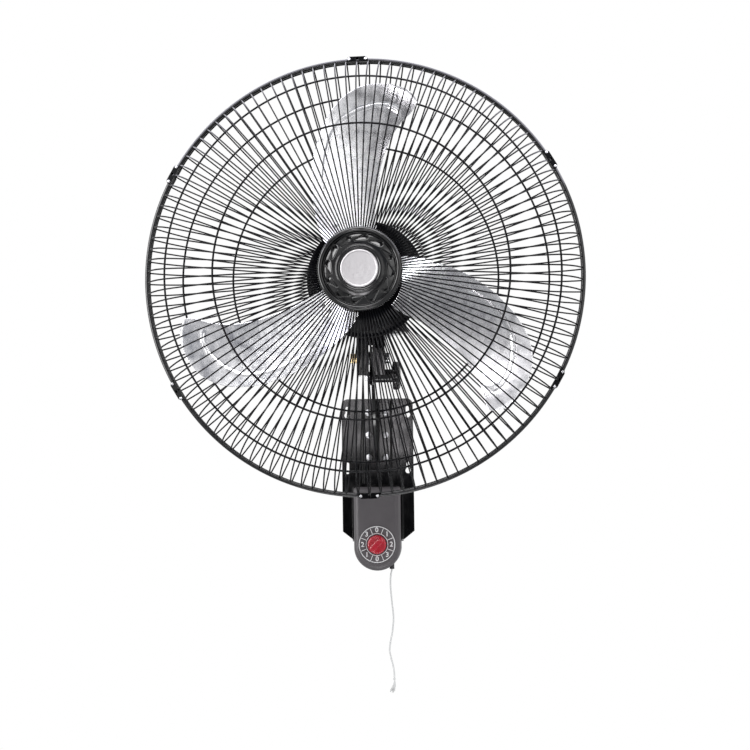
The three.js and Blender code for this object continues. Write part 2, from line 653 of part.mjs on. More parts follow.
/** The clamp knob: a boss that presses on the web and a ribbed disc outside the cheek. */
function tiltKnob() {
  const grip = Array.from({ length: 36 }, (_, k) => {
    const radius = k % 3 === 0 ? 15.6 : 17;
    const angle = k * Math.PI / 18;
    return [radius * Math.cos(angle), radius * Math.sin(angle)];
  });
  const disc = along("x", extruded("xy", grip, [25.4, 33.5]));
  const face = rod("x", 17, [33.5, 35.5], [0, 0, 0], 36, 14.5);
  const crown = meet(join(disc, face), rod("x", 17, [20, 40], [0, 0, 0], 36));
  const boss = rod("x", 8, [ARM_HALF + GAP, 26], [0, 0, 0], 20);
  const bore = rod("x", CLAMP_R + GAP, [-5, 24], [0, 0, 0], 12);
  return cut(join(crown, boss), bore).translate(0, 0, -CLAMP_DOWN);
}

const clampScrew = () => rod("x", CLAMP_R, [-8.5, 23.6], [0, 0, -CLAMP_DOWN], 12);

const clampNut = () => along("x", extruded("xy", circle(0, 0, 6, 6), [-8, -ARM_HALF - GAP], [
  circle(0, 0, CLAMP_R + FIT, 12)])).translate(0, 0, -CLAMP_DOWN);

// ---------------------------------------------------------------- wall side (origin at the plate)

/** A keyhole: a round hole for the screw's head with a slot above it. */
function keyhole(x, z) {
  return [...arc(x, z - 3.8, 3.5, 125, 415, 10), ...arc(x, z + 5.3, 2, 0, 180, 6)];
}

const KEYHOLES = [-38.5, 38.5].flatMap((x) => [[x, 73], [x, 2]]);

function wallPlate() {
  const { half, top, thick, corner, cutX, cutZ } = PLATE;
  const outline = [
    ...arc(half - corner, top - corner, corner, 0, 90, 5),
    ...arc(corner - half, top - corner, corner, 90, 180, 5),
    [-half, cutZ - top], [cutX - half, -top], [half - cutX, -top], [half, cutZ - top],
  ];
  return extruded("xz", outline, [-thick, 0], KEYHOLES.map(([x, z]) => keyhole(x, z)));
}

const SCREWS = [-10.5, 10.5].flatMap((x) => [72, 43.6, 15.3].map((z) => [x, z]));
const SCREW_R = 2;
const HAT_BACK = -PLATE.thick - GAP;
const HAT_FACE = HAT_BACK - SHEET - HAT.rise;

/** Outline of the upright web in the (y, z) plane, from the wall to the tilt bolt. */
function webOutline() {
  const root = HAT_FACE + 0.5;
  return [
    [root, HAT.top - 2], [root, 8], [-22, 10], [-58, 48], [-78, 84],
    ...arc(-BOLT_REACH, BOLT_UP, 33, -58, -122, 8),
    [-117, 116], ...arc(-BOLT_REACH, BOLT_UP, 14.4, 215, -35, 14), [-82, 112], [-70, 103],
  ];
}

/** The arc that the clamp screw runs along as the head tilts, with round ends. */
function tiltSlot() {
  const half = CLAMP_R + 0.5;
  const [low, high] = [270 - TILT.up - 1, 270 + TILT.down + 1];
  const end = (degrees, from, to) => {
    const angle = THREE.MathUtils.degToRad(degrees);
    const centre = [CLAMP_DOWN * Math.cos(angle) - BOLT_REACH, CLAMP_DOWN * Math.sin(angle) + BOLT_UP];
    return arc(...centre, half, from, to, 6).slice(1, -1);
  };
  return [
    ...arc(-BOLT_REACH, BOLT_UP, CLAMP_DOWN + half, low, high, 8), ...end(high, high, high + 180),
    ...arc(-BOLT_REACH, BOLT_UP, CLAMP_DOWN - half, high, low, 8), ...end(low, low + 180, low + 360)];
}

function armBracket() {
  const { half, raised, rise, top, bottom } = HAT;
  const section = [
    [-half, HAT_BACK], [-half, HAT_BACK - SHEET], [-raised - 1, HAT_BACK - SHEET],
    [-raised + 1.5, HAT_FACE], [raised - 1.5, HAT_FACE], [raised + 1, HAT_BACK - SHEET],
    [half, HAT_BACK - SHEET], [half, HAT_BACK], [raised - 1, HAT_BACK],
    [raised - 3.5, HAT_BACK - rise], [3.5 - raised, HAT_BACK - rise], [1 - raised, HAT_BACK],
  ];
  const hat = extruded("xy", section, [bottom, top]);
  const holes = SCREWS.map(([x, z]) => (
    rod("y", SCREW_R + FIT, [HAT_FACE - 2, HAT_BACK - rise + 2], [x, 0, z], 8)));
  const slots = [-10.7, 10.7].map((x) => block([x - 1.2, x + 1.2], [HAT_FACE - 2, -6], [-1, 5.6]));
  const web = extruded("yz", webOutline(), [-ARM_HALF, ARM_HALF], [
    circle(-BOLT_REACH, BOLT_UP, BOLT_R + FIT, 16), tiltSlot()]);
  return join(cut(hat, ...holes, ...slots), web);
}

/** A dome headed screw through the bracket's raised face. */
function bracketScrew(x, z) {
  const head = revolved([
    [0, HAT_FACE - GAP - 2.5], [3, HAT_FACE - GAP - 1.7], [4.2, HAT_FACE - GAP],
    [SCREW_R, HAT_FACE - GAP], [SCREW_R, HAT_BACK], [0, HAT_BACK]], 8);
  return head.translate(x, 0, z);
}

/** Outline of the control box, drawn in by a margin, at a distance from the wall. */
function tombstone(margin, y) {
  const { half, top, centre } = BOX;
  const points = [[margin - half, top - margin], ...arc(0, centre, half - margin, 180, 360, 16),
    [half - margin, top - margin]];
  return points.map(([x, z]) => [x, -y, z]);
}

// Where the pull cord leaves the box, at its lower right
const CORD_X = 17.5;
const CORD_Y = -25;
const EXIT_Z = -120.2;

function boxCover() {
  const { front, back, wall } = BOX;
  const { in: draw, deep } = BOX_BEVEL;
  const outer = loft([
    tombstone(0, back), tombstone(0, front - deep), tombstone(draw * 0.45, front - deep * 0.32),
    tombstone(draw, front)]);
  const inner = loft([
    tombstone(wall, back - 1), tombstone(wall, front - deep - 0.6),
    tombstone(draw + 1.4, front - wall)]);
  const shaftHole = rod("y", DIAL.hole, [-front - 2, -front + 6], [0, 0, DIAL_Z], 14);
  const cordHole = rod("z", 3.3, [EXIT_Z - 8, EXIT_Z + 6], [CORD_X, CORD_Y, 0], 12);
  return cut(outer, inner, shaftHole, cordHole);
}

function boxBase() {
  const rear = PLATE.thick + GAP;
  const panel = loft([tombstone(2.3, rear), tombstone(2.3, rear + SHEET)]);
  const cheek = [BOX.half + GAP, BOX.half + GAP + 2.5];
  const low = -PLATE.top;
  const span = [BOX.top + 0.2, low];
  const bridge = block([-cheek[1], cheek[1]], [-rear - SHEET, -rear], [span[1], span[0]]);
  const cheeks = [-1, 1].map((side) => extruded("yz", [
    [-rear, span[1]], [-rear, span[0]], [-16, span[0]], [-20, span[0] - 4], [-20, span[1] + 6],
    [-16, span[1]],
  ], side < 0 ? [-cheek[1], -cheek[0]] : cheek));
  const inlet = rod("y", 5.3, [-12, 0], [-12, 0, -106], 16);
  return cut(join(panel, bridge, ...cheeks), inlet);
}

const inletGrommet = () => revolved([
  [3.2, -8], [6.6, -8], [6.6, -PLATE.thick - SHEET - 2 * GAP], [5, -PLATE.thick - SHEET - 2 * GAP],
  [5, -1.6], [3.2, -1.6]], 16).translate(-12, 0, -106);

const DIAL = { r: 22.9, front: -BOX.front - 0.9, hole: 3.7 };

const dialPlate = () => extruded(
  "xz", circle(0, DIAL_Z, DIAL.r, 36), [DIAL.front, -BOX.front - GAP],
  [circle(0, DIAL_Z, DIAL.hole, 14)]);

const KNOB_BACK = DIAL.front - 0.5;

/** The speed knob: a round skirt with a raised bar across it, turned to the upper right. */
function speedKnob() {
  const skirt = revolved([
    [0, KNOB_BACK], [11.9, KNOB_BACK], [11.9, KNOB_BACK - 3.4], [11, KNOB_BACK - 4.4],
    [0, KNOB_BACK - 5.2]], 32);
  const bar = [
    ...arc(6.9, 0, 4.4, -90, 90, 6), ...arc(-6.9, 0, 4.4, 90, 270, 6),
  ];
  const grip = extruded("xz", bar, [KNOB_BACK - 11.4, KNOB_BACK - 3]);
  const bore = rod("y", 3.3, [KNOB_BACK - 8, KNOB_BACK + 1], [0, 0, 0], 12);
  return cut(join(skirt, turned(grip, 45)), bore).translate(0, 0, DIAL_Z);
}

const switchShaft = () => rod("y", 3, [KNOB_BACK - 7.6, -BOX.front + 4.6], [0, 0, DIAL_Z], 12);

const speedSwitch = () => join(
  rod("y", 13.4, [-BOX.front + 5, -BOX.front + 17], [0, 0, DIAL_Z], 24),
  cut(rod("y", 6, [-BOX.front + BOX.wall + GAP, -BOX.front + 6], [0, 0, DIAL_Z], 16),
    rod("y", DIAL.hole, [-BOX.front - 2, -BOX.front + 5], [0, 0, DIAL_Z], 12)));

const pullSwitch = () => cut(
  block([14, BOX.half - BOX.wall - GAP], [-31, -18], [-96, -70]),
  rod("z", 1.9, [-97, -78], [CORD_X, CORD_Y, 0], 12));

const cordBush = () => cut(
  rod("z", 3, [EXIT_Z - 4, EXIT_Z + 5], [CORD_X, CORD_Y, 0], 12),
  rod("z", 1.5, [EXIT_Z - 8, EXIT_Z + 8], [CORD_X, CORD_Y, 0], 12));

const CORD_R = 1;

// The cord's route, [x, z], chosen along its middle from the switch to the frayed end
const CORD_ROUTE = [
  [CORD_X, -88], [CORD_X, -100], [CORD_X, -111], [CORD_X, -120], [17.2, -125.5], [15.9, -132],
  [15.3, -139], [15.4, -148], [16.1, -157], [17, -167.3], [18.1, -177], [18.5, -186.4],
  [17.8, -195.5], [16.4, -205], [14.2, -215.5], [13.2, -225.3], [14.6, -233], [16.5, -240.8],
  [17.8, -247.5], [18.6, -254], [18.6, -260.5]];

const pullCord = () => bar(CORD_ROUTE.map(([x, z]) => [x, CORD_Y, z]), CORD_R, 8);

/** The cord's frayed end: it fans out downwards and leans to the left. */
function pullTassel() {
  const rows = [
    [18.6, -260.8, 1], [18.4, -264, 1.3], [17.6, -269, 2.2], [16.4, -274, 3], [15.8, -277.5, 3.3]];
  return loft(rows.map(([x, z, r]) => (
    circle(0, 0, 1, 8).map(([a, b]) => [x + r * a, CORD_Y + 0.6 * r * b, z]))));
}

const capacitor = () => block([-18.5, 18.5], [-20.3, -5.5], [-56, -30]);

const terminalBlock = () => block([-24, 6], [-17.5, -5.5], [-74, -62]);

// ---------------------------------------------------------------- looks of the solids

const paint = (color, roughness, metalness) => () => (
  new THREE.MeshStandardMaterial({ color, roughness, metalness, flatShading: true }));

const black = paint(0x161618, 0.45, 0.2);
const wireBlack = paint(0x2a2a2e, 0.35, 0.5);
const plastic = paint(0x5a565a, 0.5, 0);
const darkPlastic = paint(0x1c1c1e, 0.55, 0);
const aluminium = paint(0xd8dade, 0.3, 0.8);
const zinc = paint(0x9a9a9e, 0.4, 0.9);
const brass = paint(0xb8965a, 0.35, 0.9);
const red = paint(0x9a1420, 0.35, 0);
const white = paint(0xe6e6e6, 0.8, 0);
const laminated = paint(0x6a6258, 0.6, 0.4);

// ---------------------------------------------------------------- assembly

const fan = new THREE.Group();
const onWall = new THREE.Group();
const atNeck = new THREE.Group();
const atHead = new THREE.Group();
atNeck.position.set(0, -BOLT_REACH, BOLT_UP);
atHead.position.set(0, -RIM_REACH, AXIS_UP);
fan.add(onWall, atNeck, atHead);

function add(group, name, geometry, material) {
  const mesh = new THREE.Mesh(closed(geometry), material());
  mesh.name = name;
  group.add(mesh);
}

add(onWall, "wall_plate", wallPlate(), black);
add(onWall, "arm_bracket", armBracket(), black);
SCREWS.forEach(([x, z], k) => add(onWall, `bracket_screw_${k + 1}`, bracketScrew(x, z), zinc));
add(onWall, "control_box_base", boxBase(), black);
add(onWall, "control_box_cover", boxCover(), plastic);
add(onWall, "dial_plate", dialPlate(), darkPlastic);
add(onWall, "speed_knob", speedKnob(), red);
add(onWall, "switch_shaft", switchShaft(), zinc);
add(onWall, "speed_switch", speedSwitch(), darkPlastic);
add(onWall, "capacitor", capacitor(), darkPlastic);
add(onWall, "terminal_block", terminalBlock(), white);
add(onWall, "cable_inlet", inletGrommet(), darkPlastic);
add(onWall, "pull_switch", pullSwitch(), darkPlastic);
add(onWall, "cord_bush", cordBush(), darkPlastic);
add(onWall, "pull_cord", pullCord(), white);
add(onWall, "pull_cord_end", pullTassel(), white);

add(atNeck, "neck_yoke", neckYoke(), black);
add(atNeck, "tilt_bolt", tiltBolt(), zinc);
add(atNeck, "tilt_nut", tiltNut(), brass);
add(atNeck, "tilt_bush_left", tiltBush(-1), zinc);
add(atNeck, "tilt_bush_right", tiltBush(1), zinc);
add(atNeck, "clamp_nut", clampNut(), zinc);
add(atNeck, "tilt_knob", tiltKnob(), darkPlastic);
add(atNeck, "clamp_screw", clampScrew(), zinc);

add(atHead, "motor_bracket", motorBracket(), black);
add(atHead, "oscillation_motor", oscillationMotor(), darkPlastic);
add(atHead, "crank_disc", crankDisc(), zinc);
add(atHead, "crank_link", crankLink(), zinc);
add(atHead, "motor_front_cover", motorFrontCover(), black);
add(atHead, "motor_rear_cover", motorRearCover(), black);
add(atHead, "stator", stator(), laminated);
add(atHead, "bearing_front", bearing(MOTOR_FRONT + MOTOR_WALL + GAP), zinc);
add(atHead, "bearing_rear", bearing(MOTOR_BACK - MOTOR_WALL - GAP - BEARING.long), zinc);
add(atHead, "grille_spider", grilleSpider(), black);
add(atHead, "rear_grille", rearGrille(), wireBlack);
add(atHead, "rear_ring_inner", supportRing(RIM_R - 94.6, REAR_PROFILE, -1), wireBlack);
add(atHead, "rear_ring_outer", supportRing(RIM_R - 37, REAR_PROFILE, -1), wireBlack);
add(atHead, "front_grille", frontGrille(), wireBlack);
add(atHead, "front_ring_inner", supportRing(RIM_R - 83, FRONT_PROFILE, 1), wireBlack);
add(atHead, "front_ring_outer", supportRing(RIM_R - 25.6, FRONT_PROFILE, 1), wireBlack);
const clip = rimClip();
for (let k = 0; k < CLIPS; k += 1) {
  add(atHead, `rim_clip_${k + 1}`, turned(clip, FIRST_CLIP + 360 * k / CLIPS), black);
}
add(atHead, "hub_cap", hubCap(), darkPlastic);
add(atHead, "hub_badge", hubBadge(), aluminium);

add(atHead, "motor_shaft", shaft(), zinc);
add(atHead, "rotor", rotor(), laminated);
add(atHead, "blade_hub", bladeHub(), black);
const bladeSolid = bladeSheet();
for (let k = 0; k < BLADES; k += 1) {
  add(atHead, `blade_${k + 1}`, turned(bladeSolid, 360 * k / BLADES), aluminium);
}
add(atHead, "spinner_nut", spinnerNut(), black);

export default fan;
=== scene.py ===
import json
import math

import bmesh
import bpy
import numpy as np
from mathutils import Matrix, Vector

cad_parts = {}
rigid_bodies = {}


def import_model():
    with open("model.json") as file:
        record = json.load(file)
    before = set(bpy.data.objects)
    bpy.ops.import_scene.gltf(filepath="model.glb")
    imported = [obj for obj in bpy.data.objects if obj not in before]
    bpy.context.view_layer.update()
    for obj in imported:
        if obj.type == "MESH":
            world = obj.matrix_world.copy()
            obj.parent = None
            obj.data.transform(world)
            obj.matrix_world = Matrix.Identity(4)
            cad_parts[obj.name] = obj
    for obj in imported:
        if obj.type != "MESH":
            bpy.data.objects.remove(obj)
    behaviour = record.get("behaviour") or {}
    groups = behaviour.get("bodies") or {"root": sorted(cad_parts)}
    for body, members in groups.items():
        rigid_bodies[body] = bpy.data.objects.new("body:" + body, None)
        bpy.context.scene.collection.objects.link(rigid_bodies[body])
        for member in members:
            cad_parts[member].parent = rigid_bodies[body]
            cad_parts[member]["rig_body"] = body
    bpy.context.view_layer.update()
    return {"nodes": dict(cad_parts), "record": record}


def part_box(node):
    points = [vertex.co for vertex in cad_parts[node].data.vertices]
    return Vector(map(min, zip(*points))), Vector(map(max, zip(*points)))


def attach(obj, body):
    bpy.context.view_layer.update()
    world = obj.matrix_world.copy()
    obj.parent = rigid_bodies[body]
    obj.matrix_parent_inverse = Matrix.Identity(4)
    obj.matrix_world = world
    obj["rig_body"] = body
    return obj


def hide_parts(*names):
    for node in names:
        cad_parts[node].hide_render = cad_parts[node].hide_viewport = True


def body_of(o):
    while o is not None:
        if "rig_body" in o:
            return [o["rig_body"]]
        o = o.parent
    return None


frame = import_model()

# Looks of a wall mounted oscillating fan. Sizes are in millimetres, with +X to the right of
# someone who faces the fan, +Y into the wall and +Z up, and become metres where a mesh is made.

MM = 0.001

# ---------------------------------------------------------------- driving dimensions

RIM_REACH = 225          # wall to the plane of the guard's front rim ring
AXIS_UP = 219            # plate centre up to the fan's axis
BOLT = (0, -100, 134.6)  # the tilt bolt's centre
CLAMP_DOWN = 21.6        # tilt bolt down to the clamp screw

WIRES = 120              # spokes in each grille
WIRE_STEP = 360 / WIRES
FIRST_WIRE = 0.85        # degrees from +X, seen from the front
SPOKE_R = 0.9
RIM_R = 247.6            # centre line of the front rim ring
RIM_WIRE_R = 2.7
REAR_RIM_BACK = 6.6      # front rim ring back to the rear one
REAR_RIM_WIRE_R = 2.4
HUB_RING_R = 44
HUB_RING_FRONT = 58      # hub ring in front of the rim's plane
SUPPORT_R = 1.15         # the thin rings that tie the spokes
BACK_RING = {"inner": 62, "outer": 68.2, "front": 32.6, "back": 35.4}
CLIPS = 6
FIRST_CLIP = FIRST_WIRE + 30 * WIRE_STEP

BLADES = 3
BLADE_TIP = 221.5
BLADE_SHEET = 1.3

CAP_R = 47
BADGE_R = 21.4
MOTOR_R = 60

BOX = {"half": 29.2, "top": -22, "centre": -96.8, "front": 40, "back": 5.5, "wall": 2}
BOX_BEVEL = {"in": 5.9, "deep": 7}
DIAL_Z = -93
DIAL_R = 22.9
KNOB_R = 11.9
KNOB_BACK = -41.4

CORD_R = 1
CORD_Y = -25


# ---------------------------------------------------------------- camera

def photograph_camera():
    """Stands where the photograph was taken from and looks the way it looked.

    The fan's axis points along `facing` in the camera's own axes, and the rim's centre lies
    at `aim` pixels of a 750 pixel frame, 1.7 m away.
    """
    frame_px = 750
    distance = 1700.0
    scale = 0.8828                                   # pixels per millimetre at the rim
    aim = np.array([363.5, 275.9])
    facing = np.array([-0.0624, 0.0624, 1.0])
    roll = 0.0130
    facing /= np.linalg.norm(facing)
    up = np.array([-roll, 1.0, (facing[0] * roll - facing[1]) / facing[2]])
    up /= np.linalg.norm(up)
    into_wall = -facing
    right = np.cross(into_wall, up)
    world_to_camera = np.stack([right, into_wall, up], axis=1)
    half = frame_px / 2
    rim_in_camera = np.array([(aim[0] - half) / scale, (half - aim[1]) / scale, -distance])
    rim_centre = np.array([0, -RIM_REACH, AXIS_UP])
    place = rim_centre - world_to_camera.T @ rim_in_camera

    lens = bpy.data.cameras.new("camera")
    lens.sensor_width = 36
    lens.lens = 36 * scale * distance / frame_px
    lens.clip_end = 20
    camera = bpy.data.objects.new("camera", lens)
    pose = np.eye(4)
    pose[:3, :3] = world_to_camera.T
    pose[:3, 3] = place * MM
    camera.matrix_world = Matrix(pose.tolist())
    bpy.context.scene.collection.objects.link(camera)
    bpy.context.scene.camera = camera


photograph_camera()
bpy.context.scene.view_settings.view_transform = "Standard"


# ---------------------------------------------------------------- making meshes

def piece(name, vertices, faces, body, finish, smooth=True, nodes=()):
    """Puts vertices in millimetres and faces in a mesh that rides on a body.

    Equal vertices become one, and every face is turned outwards. The piece stands in for
    the CAD nodes named.
    """
    mesh = bpy.data.meshes.new(name)
    vertices = np.asarray(vertices, dtype=float).reshape(-1, 3) * MM
    mesh.from_pydata(vertices.tolist(), [], [list(map(int, face)) for face in faces])
    made = bmesh.new()
    made.from_mesh(mesh)
    bmesh.ops.remove_doubles(made, verts=made.verts, dist=1e-7)
    bmesh.ops.recalc_face_normals(made, faces=made.faces)
    made.to_mesh(mesh)
    made.free()
    mesh.polygons.foreach_set("use_smooth", np.full(len(mesh.polygons), smooth))
    obj = bpy.data.objects.new(name, mesh)
    bpy.context.scene.collection.objects.link(obj)
    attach(obj, body)
    dressed(obj, finish)
    if nodes:
        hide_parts(*nodes)
    return obj


def lattice(rows, columns, close_columns=False):
    """The quads of a grid of points; its columns may close on themselves."""
    j = np.arange(rows - 1)[:, None]
    i = np.arange(columns if close_columns else columns - 1)[None, :]
    after = (i + 1) % columns
    quads = np.stack([j * columns + i, j * columns + after,
                      (j + 1) * columns + after, (j + 1) * columns + i], axis=-1)
    return quads.reshape(-1, 4)


def combined(*shapes):
    """Several (vertices, faces) pairs as one pair."""
    vertices, faces, count = [], [], 0
    for points, polygons in shapes:
        points = np.asarray(points, dtype=float).reshape(-1, 3)
        vertices.append(points)
        faces.extend([[k + count for k in face] for face in polygons])
        count += len(points)
    return np.concatenate(vertices), faces


def at_head(points):
    """Takes points from the rim's centre, where the head is made, to their place on the wall."""
    return np.asarray(points, dtype=float) + np.array([0, -RIM_REACH, AXIS_UP])


def around(points, degrees):
    """Turns points about the fan's axis, anticlockwise seen from the front."""
    c, s = math.cos(math.radians(degrees)), math.sin(math.radians(degrees))
    x, y, z = np.moveaxis(np.asarray(points, dtype=float), -1, 0)
    return np.stack([c * x - s * z, y, s * x + c * z], axis=-1)


def smooth_line(points, steps):
    """A Catmull-Rom curve through the points, in equal steps of its own parameter."""
    points = np.asarray(points, dtype=float)
    padded = np.concatenate([points[:1], points, points[-1:]])
    t = np.linspace(0, len(points) - 1, steps)
    k = np.minimum(t.astype(int), len(points) - 2)
    w = (t - k)[:, None]
    a, b, c, d = (padded[k + n] for n in range(4))
    return 0.5 * (2 * b + (c - a) * w + (2 * a - 5 * b + 4 * c - d) * w ** 2
                  + (3 * b - a - 3 * c + d) * w ** 3)


def rounded(corners, radius, steps=4):
    """An open polyline whose inner corners become quadratic curves, shorter on short sides."""
    corners = np.asarray(corners, dtype=float)
    line = [corners[0]]
    for last, corner, following in zip(corners, corners[1:], corners[2:]):
        before, after = last - corner, following - corner
        cut = min(radius, 0.45 * np.linalg.norm(before), 0.45 * np.linalg.norm(after))
        start = corner + before / np.linalg.norm(before) * cut
        end = corner + after / np.linalg.norm(after) * cut
        w = np.linspace(0, 1, steps)[:, None]
        line.extend((1 - w) ** 2 * start + 2 * w * (1 - w) * corner + w ** 2 * end)
    line.append(corners[-1])
    return np.array(line)


def window(value, start, full):
    """Rises smoothly from 0 at start to 1 at full."""
    t = np.clip((value - start) / (full - start), 0, 1)
    return t * t * (3 - 2 * t)


def turned(profile, steps=96, shape=None):
    """Revolves [radius, y] points about the fan's axis; shape may shift y by radius and angle."""
    radius, y = np.asarray(profile, dtype=float).T
    angle = np.linspace(0, 2 * math.pi, steps, endpoint=False)
    r, a = np.meshgrid(radius, angle, indexing="ij")
    depth = np.broadcast_to(y[:, None], r.shape)
    if shape is not None:
        depth = depth + shape(r, a, depth)
    vertices = np.stack([r * np.cos(a), depth, r * np.sin(a)], axis=-1)
    return vertices.reshape(-1, 3), lattice(len(radius), steps, close_columns=True)


def ring_wire(radius, y, wire, steps=240, sides=12):
    """A torus about the fan's axis: a circle of the wire's radius carried round."""
    a = np.linspace(0, 2 * math.pi, sides + 1)
    return turned(np.stack([radius + wire * np.cos(a), y + wire * np.sin(a)], axis=1), steps)


def tubes(paths, across, radius, sides):
    """Round bars along paths, with flat ends.

    Each ring of points is the path's point plus radius times cosine and sine of an angle
    along the two directions square to the path, one of which is `across`.
    """
    paths = np.asarray(paths, dtype=float)
    count, stations = paths.shape[:2]
    across = np.asarray(across, dtype=float).reshape(-1, 1, 3)
    along = np.gradient(paths, axis=1)
    along /= np.linalg.norm(along, axis=-1, keepdims=True)
    normal = np.cross(along, np.broadcast_to(across, along.shape))
    normal /= np.linalg.norm(normal, axis=-1, keepdims=True)
    side = np.cross(normal, along)
    radius = np.broadcast_to(radius, (stations,))[None, :, None, None]
    a = np.linspace(0, 2 * math.pi, sides, endpoint=False)[None, None, :, None]
    points = paths[:, :, None] + radius * (
        np.cos(a) * normal[:, :, None] + np.sin(a) * side[:, :, None])
    size = stations * sides
    walls = lattice(stations, sides, close_columns=True)
    starts = np.arange(count)[:, None, None] * size
    faces = (walls[None] + starts).reshape(-1, 4).tolist()
    ends = np.array([np.arange(sides), size - 1 - np.arange(sides)])
    faces += (ends[None] + starts).reshape(-1, sides).tolist()
    return points.reshape(-1, 3), faces


def softened(node, width, finish):
    """A finer copy of a CAD node: each flat face in one, and its edges rounded to a width."""
    source = frame["nodes"][node]
    obj = bpy.data.objects.new("fine_" + node, source.data.copy())
    bpy.context.scene.collection.objects.link(obj)
    made = bmesh.new()
    made.from_mesh(obj.data)
    bmesh.ops.remove_doubles(made, verts=made.verts, dist=1e-6)
    bmesh.ops.dissolve_limit(
        made, angle_limit=math.radians(1), verts=made.verts, edges=made.edges)
    made.to_mesh(obj.data)
    made.free()
    obj.data.polygons.foreach_set("use_smooth", np.full(len(obj.data.polygons), True))
    bevel = obj.modifiers.new("edges", "BEVEL")
    bevel.width = width * MM
    bevel.segments = 2
    bevel.limit_method = "ANGLE"
    bevel.angle_limit = math.radians(34)
    weighed = obj.modifiers.new("flat_faces", "WEIGHTED_NORMAL")
    weighed.mode = "FACE_AREA"
    weighed.weight = 100
    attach(obj, body_of(source)[0])
    dressed(obj, finish)
    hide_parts(node)


# ---------------------------------------------------------------- materials

def shader(name, color, roughness, metallic=0.0, gleam=0.5):
    """A material with one plain surface, and that surface's node."""
    material = bpy.data.materials.new(name)
    material.use_nodes = True
    surface = material.node_tree.nodes["Principled BSDF"]
    surface.inputs["Base Color"].default_value = (*color, 1)
    surface.inputs["Roughness"].default_value = roughness
    surface.inputs["Metallic"].default_value = metallic
    surface.inputs["Specular IOR Level"].default_value = gleam
    material.diffuse_color = (*color, 1)
    return material, surface


def noise(material, scale, detail=3.0, stretch=(1, 1, 1)):
    """Noise on the object's own coordinates, in metres, stretched along an axis."""
    nodes, links = material.node_tree.nodes, material.node_tree.links
    place = nodes.new("ShaderNodeTexCoord")
    mapping = nodes.new("ShaderNodeMapping")
    mapping.inputs["Scale"].default_value = stretch
    texture = nodes.new("ShaderNodeTexNoise")
    texture.inputs["Scale"].default_value = scale
    texture.inputs["Detail"].default_value = detail
    links.new(place.outputs["Object"], mapping.inputs["Vector"])
    links.new(mapping.outputs["Vector"], texture.inputs["Vector"])
    return texture.outputs["Fac"]


def ramp(material, value, stops):
    """Turns a value into a colour by (place, colour) stops."""
    node = material.node_tree.nodes.new("ShaderNodeValToRGB")
    elements = node.color_ramp.elements
    while len(elements) < len(stops):
        elements.new(0.5)
    for element, (place, color) in zip(elements, stops):
        element.position = place
        element.color = (*color, 1)
    material.node_tree.links.new(value, node.inputs["Fac"])
    return node.outputs["Color"]


def spread(material, value, low, high):
    """Maps a noise value from its usual middle range to a range of its own."""
    node = material.node_tree.nodes.new("ShaderNodeMapRange")
    node.inputs["From Min"].default_value = 0.3
    node.inputs["From Max"].default_value = 0.7
    node.inputs["To Min"].default_value = low
    node.inputs["To Max"].default_value = high
    material.node_tree.links.new(value, node.inputs["Value"])
    return node.outputs["Result"]


def grain(material, surface, value, strength, distance):
    """Lets a value raise the surface slightly."""
    bump = material.node_tree.nodes.new("ShaderNodeBump")
    bump.inputs["Strength"].default_value = strength
    bump.inputs["Distance"].default_value = distance
    material.node_tree.links.new(value, bump.inputs["Height"])
    material.node_tree.links.new(bump.outputs["Normal"], surface.inputs["Normal"])


def uneven(material, surface, patches, dark, pale, rubs, low, high):
    """Lets the colour wander between two in patches, and the roughness between two in rubs."""
    links = material.node_tree.links
    links.new(ramp(material, noise(material, patches), [(0.35, dark), (0.65, pale)]),
              surface.inputs["Base Color"])
    links.new(spread(material, noise(material, rubs), low, high), surface.inputs["Roughness"])


def black_enamel():
    """Stoved gloss paint on sheet steel, with a faint orange peel and handling marks."""
    material, surface = shader("black_enamel", (0.002, 0.002, 0.003), 0.2, gleam=0.4)
    uneven(material, surface, 25, (0.001, 0.001, 0.0015), (0.004, 0.004, 0.005), 60, 0.07, 0.16)
    grain(material, surface, noise(material, 500, 1), 0.05, 0.0001)
    return material


def wire_enamel():
    """The guard's black coating, thicker and thinner along the drawn wire."""
    material, surface = shader("wire_enamel", (0.003, 0.003, 0.004), 0.25, gleam=0.1)
    uneven(material, surface, 40, (0.002, 0.002, 0.003), (0.006, 0.006, 0.008), 120, 0.15, 0.3)
    grain(material, surface, noise(material, 1500, 1), 0.1, 0.0001)
    return material


def rim_enamel():
    """The guard's rim: the same coating as the wires, flowed out glossier."""
    material, surface = shader("rim_enamel", (0.003, 0.003, 0.004), 0.2, gleam=0.45)
    uneven(material, surface, 30, (0.002, 0.002, 0.003), (0.006, 0.006, 0.008), 80, 0.14, 0.3)
    return material


def box_plastic():
    """Dark grey moulding with a fine spark-eroded texture."""
    material, surface = shader("box_plastic", (0.094, 0.085, 0.092), 0.5, gleam=0.4)
    uneven(material, surface, 30, (0.085, 0.076, 0.082), (0.104, 0.094, 0.101), 1400, 0.42, 0.6)
    grain(material, surface, noise(material, 3500, 2), 0.3, 0.00006)
    return material


def black_plastic():
    """Black moulding, half gloss."""
    material, surface = shader("black_plastic", (0.004, 0.004, 0.005), 0.2)
    uneven(material, surface, 35, (0.001, 0.001, 0.0015), (0.005, 0.005, 0.006), 90, 0.08, 0.18)
    grain(material, surface, noise(material, 900, 1), 0.04, 0.00005)
    return material


